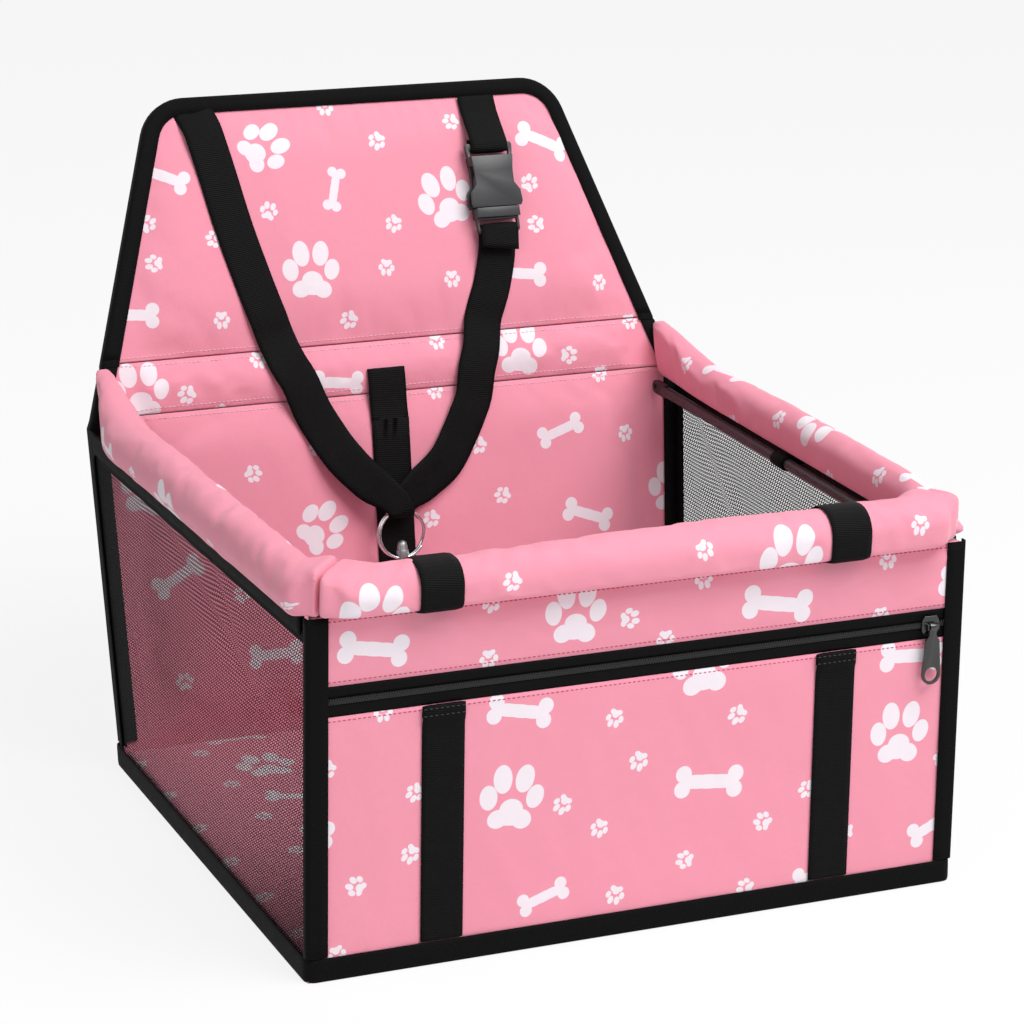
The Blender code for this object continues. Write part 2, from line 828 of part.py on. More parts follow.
def flap_edge(inset, start=fold_relief):
    """Points up the right edge of the flap and round its top corner."""
    straight_end = corner_up + (flap_corner_radius - inset) * flap_taper / flap_slope
    points = []
    for share in flap_row_shares:
        up = start + (straight_end - start) * share
        points.append((half_width(fold_level) - flap_taper * up - inset * flap_slope, up))
    radius = flap_corner_radius - inset
    for angle in spread(atan(flap_taper), pi / 2, corner_steps):
        points.append((corner_x + radius * cos(angle), corner_up + radius * sin(angle)))
    return points


def flap_rows(start=fold_relief):
    return [(up, -half, half) for half, up in flap_edge(back_edge, start)]


flap_pad_top = flap_length - back_edge - tape_margin(0)
flap_pad = padding(flap_crown, flap_ramp, fold_relief, flap_pad_top, tape_margin)
panel(
    "flap_lining", printed_fabric, flap_wall.at, flap_rows(gap), -lining_thickness, flap_pad,
    pad_shares, tape_margin, radians(35),
)
panel("flap_board", stiff_board, flap_wall.at, flap_rows(), board_back, board_front)
panel("flap_cover", plain_fabric, flap_wall.at, flap_rows(), cover_back, cover_front)


def flap_binding_frames():
    right = flap_edge(back_edge)
    outline = [Vector((-half, up)) for half, up in right] + [
        Vector((half, up)) for half, up in reversed(right)
    ]
    frames = []
    for place, point in enumerate(outline):
        turns = []
        if place > 0:
            turns.append((point - outline[place - 1]).normalized())
        if place < len(outline) - 1:
            turns.append((outline[place + 1] - point).normalized())
        normals = [Vector((turn.y, -turn.x)) for turn in turns]
        inward = mitre(normals[0], normals[-1])
        if len(turns) == 1:
            inward = Vector((-flap_slope if point.x > 0 else flap_slope, 0))
        side = X_AXIS * inward.x + flap_wall.up * inward.y
        frames.append((flap_wall.at(point.x, point.y, 0), side, flap_wall.out))
    return frames


sweep(
    "flap_binding", black_tape, flap_binding_frames(),
    u_section(binding_leg, cover_back, 0, tape_wall),
)


# Flat webbing laid along a route
def ribbon(name, stops, level_start=False):
    """Webbing along stops of (point, face normal, width); a level start is cut along the seat."""
    points, faces = [], []
    for place, (point, face, width) in enumerate(stops):
        before = stops[max(place - 1, 0)][0]
        after = stops[min(place + 1, len(stops) - 1)][0]
        along = (after - before).normalized()
        across = along.cross(face).normalized()
        square = across.cross(along).normalized()
        if level_start and place == 0:
            across = X_AXIS / X_AXIS.dot(across)
        half, lift = across * width / 2, square * webbing_thickness / 2
        points += [point - half - lift, point + half - lift, point + half + lift, point - half + lift]
    for place in range(len(stops) - 1):
        here, there = place * 4, (place + 1) * 4
        for corner in range(4):
            after = (corner + 1) % 4
            faces.append([here + corner, here + after, there + after, there + corner])
    last = (len(stops) - 1) * 4
    faces += [[3, 2, 1, 0], [last, last + 1, last + 2, last + 3]]
    return solid(name, black_webbing, points, faces, radians(30))


def turn_round(wall, x, up, out, radius, start, end, steps, width=webbing_width):
    """Stops round a bar that lies across the seat; angles run from out (0) to up (pi / 2)."""
    stops = []
    for angle in spread(start, end, steps):
        face = wall.out * cos(angle) + wall.up * sin(angle)
        stops.append((wall.at(x, up, out) + face * radius, face, width))
    return stops


strap_slant = 0.40


def laid_over(wall, pad, right, x, up, under=0.0):
    """A stop where slanting webbing lies on the highest point of a pad under its width."""
    half = webbing_width / 2
    crown = max(
        pad(x + half * share, up + half * share * slant, -right, right)
        for share in (-1, -0.5, 0, 0.5, 1) for slant in (-strap_slant, 0, strap_slant)
    )
    return (wall.at(x, up, crown + under + gap + webbing_thickness / 2), wall.out, webbing_width)


def right_edge(wall, up):
    return half_width(wall.at(0, up, 0).z) - back_edge


# Strap down the middle of the back
back_strap_x = -0.0050
back_strap_top = 0.0148
back_strap_low = 0.0300
strap_layer = webbing_thickness + gap

back_strap_stops = [
    laid_over(fold_band, band_pad, right_edge(fold_band, 0), back_strap_x, back_strap_top),
    laid_over(fold_band, band_pad, right_edge(fold_band, 0), back_strap_x, back_strap_top / 2),
]
for drop in (0.25, 0.6, 1.0):
    up = lower_back_length - lower_ramp * drop
    back_strap_stops.append(laid_over(lower_back, lower_pad, seat_half, back_strap_x, up))
for up in (lining_low + lower_ramp, back_strap_low):
    back_strap_stops.append(laid_over(lower_back, lower_pad, seat_half, back_strap_x, up))
ribbon("back_strap", back_strap_stops)

# Side release buckle on the flap: socket above, clip below
buckle_share = 0.4075
buckle_x = seat_half * buckle_share
buckle_split = 0.0768
buckle_out = 0.0112
socket_length = 0.0412
socket_half_top = 0.0160
socket_half_waist = 0.0132
socket_half_mouth = 0.0175
buckle_thickness = 0.0096
bar_thickness = 0.0028
slot_half = 0.0133
slot_height = 0.0042
bar_height = 0.0042
socket_block = 0.0120
cavity_thickness = 0.0056
clip_length = 0.0160
clip_half = 0.0146
collar_rise = 0.0012
tongue_half = 0.0022
tongue_length = 0.0200
prong_length = 0.0250
prong_thickness = 0.0044
prong_root_x = 0.0078
prong_width = 0.0030
prong_bulge = 0.0126
overrun = 0.0010
socket_top = buckle_split + socket_length
clip_low = buckle_split - gap - clip_length


def buckle_point(x, up, out):
    return flap_wall.at(buckle_x + x, up, buckle_out + out)


def buckle_plate(name, surface, outline, thickness):
    """An outline of (x, up) on the flap, given a thickness about the middle of the buckle."""
    frames = [
        (buckle_point(0, 0, out), X_AXIS, flap_wall.up) for out in (-thickness / 2, thickness / 2)
    ]
    return sweep(name, surface, frames, outline)


def both_sides(half_outline):
    """Mirrors points listed from the bottom up, so that they close round the middle."""
    return half_outline + [(-x, up) for x, up in reversed(half_outline)]


socket_shell_top = socket_top - bar_height - slot_height
socket_outline = both_sides([
    (socket_half_mouth * 0.93, buckle_split), (socket_half_mouth, buckle_split + socket_length * 0.06),
    (socket_half_mouth * 0.96, buckle_split + socket_length * 0.24),
    (socket_half_waist, buckle_split + socket_length * 0.36),
    (socket_half_waist, buckle_split + socket_length * 0.56),
    (socket_half_top * 0.9, socket_shell_top),
])
socket = buckle_plate("buckle_socket", black_plastic, socket_outline, buckle_thickness)
ears_outline = both_sides([
    (socket_half_top * 0.9, socket_shell_top - socket_block * 0.4),
    (socket_half_top, socket_shell_top + slot_height), (socket_half_top, socket_top - bar_height * 0.3),
    (socket_half_top * 0.94, socket_top),
])
carve(socket, buckle_plate("socket_ears_guide", black_plastic, ears_outline, bar_thickness), "UNION")
cavity_high = socket_shell_top - socket_block * 0.5
cavity_outline = rectangle(
    -socket_half_mouth - overrun, socket_half_mouth + overrun, buckle_split - overrun, cavity_high
)
carve(socket, buckle_plate("socket_cavity_guide", black_plastic, cavity_outline, cavity_thickness))
slot_outline = rectangle(
    -slot_half, slot_half, socket_shell_top, socket_shell_top + slot_height
)
carve(socket, buckle_plate("socket_slot_guide", black_plastic, slot_outline, buckle_thickness * 2))

clip_outline = both_sides([
    (clip_half * 0.92, clip_low), (clip_half, clip_low + bar_height * 0.4),
    (clip_half, buckle_split - gap),
])
clip = buckle_plate("buckle_clip", black_plastic, clip_outline, bar_thickness)
collar_low = clip_low + bar_height + slot_height + collar_rise
collar_outline = rectangle(-clip_half, clip_half, collar_low, buckle_split - gap)
carve(clip, buckle_plate("clip_collar_guide", black_plastic, collar_outline, buckle_thickness), "UNION")
tongue_outline = rectangle(
    -tongue_half, tongue_half, collar_low + overrun, buckle_split + tongue_length
)
carve(clip, buckle_plate("clip_tongue_guide", black_plastic, tongue_outline, bar_thickness), "UNION")
clip_slot_outline = rectangle(
    -slot_half + gap, slot_half - gap, clip_low + bar_height, clip_low + bar_height + slot_height
)
carve(clip, buckle_plate("clip_slot_guide", black_plastic, clip_slot_outline, buckle_thickness * 2))
prong_root_up = buckle_split + prong_width


def prong(name, side):
    """A springy arm that bulges at the open side of the socket, where fingers squeeze it."""
    root = prong_root_x - prong_width / 2
    bulge_low = buckle_split + prong_length * 0.34
    outline = [
        (side * x, up) for x, up in (
            (root, buckle_split + gap), (root + prong_width, buckle_split + gap),
            (root + prong_width, bulge_low - prong_length * 0.06), (prong_bulge, bulge_low),
            (prong_bulge, buckle_split + prong_length * 0.74),
            (root + prong_width, buckle_split + prong_length),
            (root, buckle_split + prong_length * 0.97),
        )
    ]
    return buckle_plate(name, black_plastic, outline, prong_thickness)


prong("left_prong", -1)
prong("right_prong", 1)

# Short webbing that holds the socket to the top of the flap
tether_top = flap_length - back_edge - binding_leg - gap
bar_turn = bar_thickness / sqrt(2) + gap + webbing_thickness / 2
socket_bar_up = socket_top - bar_height / 2


def on_flap(x, up):
    return laid_over(flap_wall, flap_pad, right_edge(flap_wall, up), x, up)


def socket_webbing():
    """From the tape at the top of the flap, through the slot of the socket and back up behind."""
    front, back = buckle_out + bar_turn, buckle_out - bar_turn
    rise = tether_top - socket_top
    turn_up = socket_top - bar_height + bar_thickness / 2
    stops = [on_flap(buckle_x, tether_top), on_flap(buckle_x, tether_top - rise * 0.3)]
    for up, out in ((socket_top, front), (turn_up, front)):
        stops.append((flap_wall.at(buckle_x, up, out), flap_wall.out, webbing_width))
    stops += turn_round(flap_wall, buckle_x, turn_up, buckle_out, bar_turn, -pi / 8, -7 * pi / 8, 5)
    for up in (turn_up, socket_top + rise * 0.1):
        stops.append((flap_wall.at(buckle_x, up, back), -flap_wall.out, webbing_width))
    return stops


ribbon("socket_webbing", socket_webbing(), level_start=True)

# Split ring, two turns of one wire, that hangs in the bend of the strap
tether_x = -0.0062
ring_up = 0.1280
tether_out = 0.0168
ring_radius = 0.0152
ring_wire_radius = 0.0010
ring_turn_gap = 0.0004
ring_turn_pitch = 2 * ring_wire_radius + ring_turn_gap
ring_end_angle = radians(35)
ring_ramp_angle = radians(25)
ring_steps = 46
ring_bottom_up = ring_up - ring_radius


def ring_climb(angle):
    """The wire stays in one plane for each turn and crosses over between them."""
    share = (angle - 2 * pi + ring_ramp_angle) / (2 * ring_ramp_angle)
    share = max(0.0, min(1.0, share))
    return ring_turn_pitch * (share * share * (3 - 2 * share) - 0.5)


def split_ring():
    ramp = spread(2 * pi - ring_ramp_angle, 2 * pi + ring_ramp_angle, 6)
    first = spread(ring_end_angle, ramp[0], ring_steps // 2)
    second = spread(ramp[-1], 4 * pi - ring_end_angle, ring_steps // 2)
    frames = []
    for angle in first[:-1] + ramp + second[1:]:
        radial = X_AXIS * cos(angle) + lower_back.up * sin(angle)
        centre = lower_back.at(tether_x, ring_up, tether_out + ring_climb(angle))
        frames.append((centre + radial * ring_radius, radial, lower_back.out))
    print("least gap between the two turns of the ring:", round(ring_turn_gap, 6), "m")
    sweep("split_ring", bright_steel, frames, circle(ring_wire_radius, 8), smooth_angle=radians(70))


split_ring()

# Long strap: from the top left of the flap, down through the ring and up to the clip
ring_strap_width = 0.0130
strap_loop_inner = 0.0033
ring_turn = strap_loop_inner + webbing_thickness / 2
strap_loop_drop = 0.0006
strap_loop_up = ring_up + ring_radius - strap_loop_drop
clip_turn_up = clip_low + bar_height - bar_thickness / 2


def on_lower(x, up):
    return laid_over(lower_back, lower_pad, seat_half, x, up, strap_layer)


def on_band(x, up):
    return laid_over(fold_band, band_pad, right_edge(fold_band, up), x, up, strap_layer)


# The strap's course, as shares of half the seat's width and of the length of each part of the back
left_flap_shares = (
    (-0.53350, 0.91027), (-0.52750, 0.86989), (-0.51750, 0.80154),
    (-0.50000, 0.68969), (-0.46750, 0.47844), (-0.43000, 0.28582),
    (-0.40750, 0.18019), (-0.39000, 0.11184), (-0.37250, 0.04349),
)
left_band_shares = (
    (-0.35000, 0.70645), (-0.32000, 0.33787),
)
left_lower_shares = (
    (-0.28500, 0.97219), (-0.25000, 0.90836),
)
right_lower_shares = (
    (0.20000, 0.85275), (0.24000, 0.92227), (0.26500, 0.96861),
)
right_band_shares = (
    (0.28000, 0.24572), (0.30500, 0.67574),
)
right_flap_shares = (
    (0.33000, 0.04349), (0.35000, 0.11184), (0.37250, 0.18019),
)
strap_lift_low = 0.0112
strap_lift_high = 0.0160
strap_under_low = 0.0108
strap_under_high = 0.0092
strap_gather = 0.0220
strap_narrow = 0.0165
strap_ease = 0.0008
strap_under_ease = 0.0004
above_ring_shares = (
    (-0.20000, 0.82958), (-0.12750, 0.75079), (-0.06000, 0.69981),
)
below_ring_shares = (
    (0.00500, 0.69518), (0.06500, 0.72993), (0.14500, 0.78323),
)
behind_clip_shares = (
    (0.39750, 0.29825),
)
before_clip_shares = (
    (0.40000, 0.31067),
)


def course(shares, length, lay):
    """Stops at shares of half the seat's width and of a length, laid by a function."""
    return [lay(seat_half * across, length * up) for across, up in shares]


def lifted(shares, length, wall, outs, widths, face):
    """Stops where the strap hangs clear of the back, given how far out and how wide it is."""
    return [
        (wall.at(seat_half * across, length * up, out), wall.out * face, width)
        for (across, up), out, width in zip(shares, outs, widths)
    ]


def long_strap():
    front, back = tether_out + ring_turn, tether_out - ring_turn
    stops = course(left_flap_shares, flap_length, on_flap)
    stops += course(left_band_shares, fold_band_length, on_band)
    stops += course(left_lower_shares, lower_back_length, on_lower)
    stops += lifted(
        above_ring_shares, lower_back_length, lower_back,
        (strap_lift_low, strap_lift_high, front - strap_ease), (webbing_width, strap_gather, strap_narrow), 1,
    )
    stops += turn_round(
        lower_back, tether_x, strap_loop_up, tether_out, ring_turn, 0, -pi, 8, ring_strap_width
    )
    stops += lifted(
        below_ring_shares, lower_back_length, lower_back,
        (back - strap_under_ease, strap_under_low, strap_under_high),
        (strap_narrow, strap_gather, webbing_width), -1,
    )
    laid = course(right_lower_shares, lower_back_length, on_lower)
    laid += course(right_band_shares, fold_band_length, on_band)
    laid += course(right_flap_shares, flap_length, on_flap)
    stops += [(point, -face, width) for point, face, width in laid]
    behind, before = buckle_out - bar_turn, buckle_out + bar_turn
    full = (webbing_width,)
    stops += lifted(behind_clip_shares, flap_length, flap_wall, (behind,), full, -1)
    stops.append((flap_wall.at(buckle_x, clip_turn_up, behind), -flap_wall.out, webbing_width))
    stops += turn_round(
        flap_wall, buckle_x, clip_turn_up, buckle_out, bar_turn, 7 * pi / 8, pi / 8, 5
    )
    stops.append((flap_wall.at(buckle_x, clip_turn_up, before), flap_wall.out, webbing_width))
    return stops + lifted(before_clip_shares, flap_length, flap_wall, (before,), full, 1)


ribbon("long_strap", long_strap(), level_start=True)

# Snap hook: an eye on the ring, and a body that swivels below it with a sprung gate
eye_radius = 0.0040
eye_rise = 0.0110
eye_drop = 0.0066
eye_top = ring_bottom_up + eye_rise
eye_low = ring_bottom_up - eye_drop
eye_bore_radius = 0.0026
eye_cap_share = 0.55
stem_radius = 0.0014
stem_head_radius = 0.0024
stem_length = 0.0058
stem_head_height = 0.0016
hook_barrel_radius = 0.0040
hook_barrel_length = 0.0125
hook_loop_half = 0.0070
hook_loop_height = 0.0290
hook_wire_radius = 0.0017
hook_top = eye_low - gap
hook_shoulder = hook_top - hook_barrel_length
hook_low = hook_shoulder - hook_loop_height


def tether_frames(heights):
    """Frames up the swivel axis of the hook."""
    return [(lower_back.at(tether_x, up, tether_out), X_AXIS, lower_back.out) for up in heights]


def turned(name, surface, profile, sides=round_sides):
    """A body turned about the swivel axis, from (radius, up) points listed from the bottom."""
    points, faces = [], []
    for radius, up in profile:
        for x, out in circle(radius, sides):
            points.append(lower_back.at(tether_x + x, up, tether_out + out))
    for ring in range(len(profile) - 1):
        for corner in range(sides):
            after = (corner + 1) % sides
            here, there = ring * sides, (ring + 1) * sides
            faces.append([here + corner, here + after, there + after, there + corner])
    last = (len(profile) - 1) * sides
    faces.append([corner for corner in reversed(range(sides))])
    faces.append([last + corner for corner in range(sides)])
    return solid(name, surface, points, faces, radians(40))


groove_rise = 0.0052
barrel_foot = 0.0015
barrel_chamfer = 0.0008
cap_start = eye_top - eye_radius * 0.8
groove_up = ring_bottom_up + groove_rise
eye = turned("snap_eye", grey_zinc, [
    (stem_head_radius, eye_low - stem_length), (stem_head_radius, eye_low - stem_length + stem_head_height),
    (stem_radius, eye_low - stem_length + stem_head_height + gap), (stem_radius, eye_low - gap),
    (eye_radius * 0.85, eye_low), (eye_radius, eye_low + eye_radius * 0.3),
    (eye_radius, groove_up - gap), (eye_radius * 0.8, groove_up), (eye_radius * 0.82, cap_start),
    (eye_radius * 0.66, cap_start + eye_radius * 0.5), (eye_radius * 0.3, eye_top),
])
bore_frames = [
    (lower_back.at(tether_x + x, ring_bottom_up, tether_out), lower_back.up, lower_back.out)
    for x in (-eye_radius - overrun, eye_radius + overrun)
]
carve(eye, sweep("eye_bore_guide", grey_zinc, bore_frames, circle(eye_bore_radius, 16)))

hook = turned("snap_hook", grey_zinc, [
    (hook_barrel_radius * 0.7, hook_shoulder), (hook_barrel_radius, hook_shoulder + barrel_foot),
    (hook_barrel_radius, hook_top - barrel_chamfer), (hook_barrel_radius * 0.85, hook_top),
])
chamber_low = eye_low - stem_length - gap
chamber = turned("hook_chamber_guide", grey_zinc, [
    (stem_head_radius + gap, chamber_low),
    (stem_head_radius + gap, chamber_low + stem_head_height + 2 * gap),
    (stem_radius + gap, chamber_low + stem_head_height + 3 * gap), (stem_radius + gap, hook_top + overrun),
])
carve(hook, chamber)
loop_centre = hook_low + hook_loop_half + hook_wire_radius
tip_up = loop_centre + hook_loop_half * 0.35


def hook_route():
    """Down the left side, round the bottom and up to the tip on the right."""
    shoulder = hook_shoulder + hook_wire_radius * 0.8
    route = [(-hook_barrel_radius * 0.3, shoulder), (-hook_loop_half * 0.8, shoulder - hook_loop_half * 0.6)]
    route.append((-hook_loop_half, shoulder - hook_loop_half * 1.2))
    for angle in spread(pi, 2 * pi, 8):
        route.append((hook_loop_half * cos(angle), loop_centre + hook_loop_half * sin(angle)))
    route.append((hook_loop_half, tip_up))
    return [Vector(point) for point in route]


def bent_wire(name, surface, route, radius, sides=8):
    """A round wire along (x, up) points in the plane of the wall."""
    frames = []
    for place, point in enumerate(route):
        before, after = route[max(place - 1, 0)], route[min(place + 1, len(route) - 1)]
        along = (after - before).normalized()
        side = X_AXIS * along.y - lower_back.up * along.x
        centre = lower_back.at(tether_x + point.x, point.y, tether_out)
        frames.append((centre, side, lower_back.out))
    return sweep(name, surface, frames, circle(radius, sides), smooth_angle=radians(60))


carve(hook, bent_wire("hook_wire_guide", grey_zinc, hook_route(), hook_wire_radius), "UNION")
gate_drop = 0.0022
gate_pivot = Vector((hook_loop_half * 0.62, hook_shoulder - gate_drop))
gate_thickness = 0.0024
gate_disc_radius = 0.0019
gate_pin_radius = 0.0007
gate_half = 0.0012
gate_end = Vector((hook_loop_half, tip_up + gap))
ear_thickness = 0.0010
ear_half = 0.0022


def tether_plate(name, outline, out_low, out_high, surface=grey_zinc):
    frames = [
        (lower_back.at(tether_x, 0, tether_out + out), X_AXIS, lower_back.up)
        for out in (out_low, out_high)
    ]
    return sweep(name, surface, frames, outline)


gate_out = gate_thickness / 2
for ear_name, low, high in (
    ("front_ear_guide", gate_out + gap, gate_out + gap + ear_thickness),
    ("back_ear_guide", -gate_out - gap - ear_thickness, -gate_out - gap),
):
    ear = [
        (0, hook_shoulder + ear_half * 1.4), (0, hook_shoulder - ear_half * 0.4),
        (gate_pivot.x - ear_half * 0.6, gate_pivot.y - ear_half * 0.8),
        (gate_pivot.x + ear_half * 0.7, gate_pivot.y - ear_half * 0.7),
        (gate_pivot.x + ear_half, gate_pivot.y + ear_half * 0.4),
        (gate_pivot.x * 0.7, hook_shoulder + ear_half * 1.4),
    ]
    carve(hook, tether_plate(ear_name, ear, low, high), "UNION")
pin_outline = [(gate_pivot.x + x, gate_pivot.y + up) for x, up in circle(gate_pin_radius, 8)]
pin_reach = gate_out + gap + ear_thickness * 0.5
carve(hook, tether_plate("gate_pin_guide", pin_outline, -pin_reach, pin_reach), "UNION")


def gate():
    """A lever from the pin down to the tip of the hook, with its eye round the pin."""
    run = (gate_end - gate_pivot).normalized()
    across = Vector((run.y, -run.x))
    outline = []
    for angle in spread(pi / 5, 2 * pi - pi / 5, 10):
        spoke = run * cos(angle) + across * sin(angle)
        outline.append(gate_pivot + spoke * gate_disc_radius)
    end = gate_end + Vector((0, gap))
    outline += [end - across * gate_half, end + across * gate_half]
    lever = tether_plate("snap_gate", [tuple(point) for point in outline], -gate_out, gate_out)
    hole = [
        (gate_pivot.x + x, gate_pivot.y + up) for x, up in circle(gate_pin_radius + gap, 12)
    ]
    carve(lever, tether_plate("gate_hole_guide", hole, -gate_out - overrun, gate_out + overrun))


gate()

# Zip slider on the closed chain, with its pull hanging from a cross bar
slider_end = 0.0175
slider_x = front_half - slider_end
slider_width = 0.0108
slider_half_height = 0.0055
slider_plate = 0.0012
bridge_out = 0.0046
bridge_radius = 0.0008
bridge_half = 0.0027
lug_wall = 0.0010
pull_width = 0.0122
pull_thickness = 0.0014
pull_drop = 0.0345
pull_hole_radius = 0.0043
pull_neck_width = 0.0046
pull_head_width = 0.0090
pull_neck_share = 0.15
pull_shoulder_share = 0.24
pull_eye_radius = 0.0022
zip_middle = (zip_chain_low + zip_chain_high) / 2
slider_back = zip_chain_front + gap
slider_front = slider_back + slider_plate


def zip_box(name, left, right, low, high, back, front):
    frames = [(front_wall.at(slider_x, zip_middle, out), X_AXIS, front_wall.up) for out in (back, front)]
    return sweep(name, black_enamel, frames, rectangle(left, right, low, high))


slider_outline = [
    (slider_width * x, slider_half_height * up) for x, up in (
        (-0.36, -1.0), (0.36, -1.0), (0.5, -0.55), (0.5, 0.55), (0.36, 1.0), (-0.36, 1.0),
        (-0.5, 0.55), (-0.5, -0.55),
    )
]
slider = sweep(
    "zip_slider", black_enamel,
    [(front_wall.at(slider_x, zip_middle, out), X_AXIS, front_wall.up) for out in (slider_back, slider_front)],
    slider_outline,
)
for lug_name, inner in (("left_lug_guide", -bridge_half - lug_wall), ("right_lug_guide", bridge_half)):
    lug = zip_box(
        lug_name, inner, inner + lug_wall, -bridge_radius * 2, bridge_radius * 2,
        slider_back + slider_plate / 2, bridge_out + bridge_radius * 1.4,
    )
    carve(slider, lug, "UNION")
bridge_ends = [
    (front_wall.at(slider_x + x, zip_middle, bridge_out), front_wall.up, front_wall.out)
    for x in (-bridge_half - lug_wall / 2, bridge_half + lug_wall / 2)
]
carve(slider, sweep("bridge_guide", black_enamel, bridge_ends, circle(bridge_radius, 8)), "UNION")


def zip_pull():
    """A flat tab with a round hole at its foot and a curled eye round the bridge at its head."""
    half = pull_width / 2
    foot = -pull_drop
    neck, shoulder = foot * pull_neck_share, foot * pull_shoulder_share
    head, neck_half = pull_head_width / 2, pull_neck_width / 2
    outline = [(-neck_half, 0), (-neck_half, neck), (-head, shoulder)]
    for angle in spread(pi, 2 * pi, 8):
        outline.append((half * cos(angle), foot + half + half * sin(angle)))
    outline += [(head, shoulder), (neck_half, neck), (neck_half, 0)]
    half_thick = pull_thickness / 2

    def frames(low, high):
        return [
            (front_wall.at(slider_x, zip_middle, bridge_out + out), X_AXIS, front_wall.up)
            for out in (low, high)
        ]

    tab = sweep("zip_pull", black_enamel, frames(-half_thick, half_thick), outline)
    eye_half = pull_neck_width / 2
    eye_ends = [
        (front_wall.at(slider_x + x, zip_middle, bridge_out), front_wall.up, front_wall.out)
        for x in (-eye_half, eye_half)
    ]
    carve(tab, sweep("pull_eye_guide", black_enamel, eye_ends, circle(pull_eye_radius, 12)), "UNION")
    bore_ends = [
        (front_wall.at(slider_x + x, zip_middle, bridge_out), front_wall.up, front_wall.out)
        for x in (-eye_half - overrun, eye_half + overrun)
    ]
    carve(tab, sweep("pull_bore_guide", black_enamel, bore_ends, circle(bridge_radius + gap, 12)))
    hole = [(x, foot + half + up) for x, up in circle(pull_hole_radius, 14)]
    reach = half_thick + overrun
    carve(tab, sweep("pull_hole_guide", black_enamel, frames(-reach, reach), hole))


zip_pull()
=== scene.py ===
"""A collapsible dog car seat of printed cloth, mesh, binding tape and webbing, as it was sewn.

Units are metres in the model's frame: X across the seat, Y from front to back, Z up.
"""

from math import atan, cos, pi, radians, sin, sqrt, tan

import bmesh
import bpy
import numpy as np
from mathutils import Matrix, Vector, noise


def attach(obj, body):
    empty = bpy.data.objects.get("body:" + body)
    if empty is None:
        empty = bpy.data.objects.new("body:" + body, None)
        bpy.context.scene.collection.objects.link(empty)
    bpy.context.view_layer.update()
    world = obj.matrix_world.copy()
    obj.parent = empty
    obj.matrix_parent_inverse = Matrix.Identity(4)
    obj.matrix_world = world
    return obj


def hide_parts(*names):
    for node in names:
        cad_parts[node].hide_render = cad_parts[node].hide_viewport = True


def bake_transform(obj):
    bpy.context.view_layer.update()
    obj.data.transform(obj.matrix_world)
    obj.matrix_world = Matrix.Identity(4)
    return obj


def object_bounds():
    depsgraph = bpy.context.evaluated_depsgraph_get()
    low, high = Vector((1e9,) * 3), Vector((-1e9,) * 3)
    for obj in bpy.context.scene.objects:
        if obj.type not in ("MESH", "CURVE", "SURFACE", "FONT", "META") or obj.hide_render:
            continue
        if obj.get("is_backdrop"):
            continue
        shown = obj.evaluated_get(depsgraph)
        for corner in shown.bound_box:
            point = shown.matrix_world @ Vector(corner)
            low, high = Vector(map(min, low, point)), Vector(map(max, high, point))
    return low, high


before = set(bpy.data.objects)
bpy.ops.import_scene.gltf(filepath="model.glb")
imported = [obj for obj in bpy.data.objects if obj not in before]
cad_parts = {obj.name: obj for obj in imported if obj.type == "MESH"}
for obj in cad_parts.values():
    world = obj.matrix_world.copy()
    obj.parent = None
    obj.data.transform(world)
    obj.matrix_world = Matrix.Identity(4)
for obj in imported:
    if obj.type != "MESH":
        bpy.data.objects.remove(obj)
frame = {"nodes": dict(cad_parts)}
cad_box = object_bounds()

# The camera and the studio
# A long lens looks down on the left front corner, and the seat stands on a white sweep under soft
# boxes. To the camera the sweep is nearly white by itself, so that only the soft shadow shows.
camera_right = Vector((0.90823, -0.41711, 0.03376))
camera_up = Vector((0.10091, 0.29659, 0.94966))
camera_back = Vector((-0.40612, -0.85910, 0.31147))
camera_place = Vector((-0.90731, -1.89530, 0.88425))
lens_length = 133.63
floor_reach = 6.0
sweep_white, sweep_glow, sweep_level = (0.90, 0.90, 0.90, 1), 0.86, -0.0002
backdrop_white = 1.0
room_light = 0.27
lamps_look_at = Vector((0, 0, 0.15))
soft_boxes = (
    ("top_box", (0.8, -1.05, 2.4), 1.9, 75.0),
    ("left_box", (-2.1, -1.9, 1.5), 1.4, 9.0),
)

camera_data = bpy.data.cameras.new("studio_camera")
camera_data.lens = lens_length
camera = bpy.data.objects.new("studio_camera", camera_data)
turn = Matrix((camera_right, camera_up, camera_back)).transposed().to_4x4()
camera.matrix_world = Matrix.Translation(camera_place) @ turn
bpy.context.scene.collection.objects.link(camera)
bpy.context.scene.camera = camera
bpy.context.scene.view_settings.view_transform = "Standard"


def put(tree, kind, values=None, output=0, **settings):
    """Adds one node, sets or links its inputs by name or number, and gives one output."""
    made = tree.nodes.new(kind)
    for setting, value in settings.items():
        setattr(made, setting, value)
    for socket, value in (values or {}).items():
        if isinstance(value, bpy.types.NodeSocket):
            tree.links.new(value, made.inputs[socket])
        else:
            made.inputs[socket].default_value = value
    return made.outputs[output]


def arithmetic(tree, operation, *values):
    return put(tree, "ShaderNodeMath", dict(enumerate(values)), operation=operation)


def seen_directly(tree):
    """One for rays that come from the camera or from a mirror-like surface, else zero."""
    path = tree.nodes.new("ShaderNodeLightPath").outputs
    return arithmetic(tree, "MAXIMUM", path["Is Camera Ray"], path["Is Glossy Ray"])


def link_object(name, mesh):
    made = bpy.data.objects.new(name, mesh)
    bpy.context.scene.collection.objects.link(made)
    return made


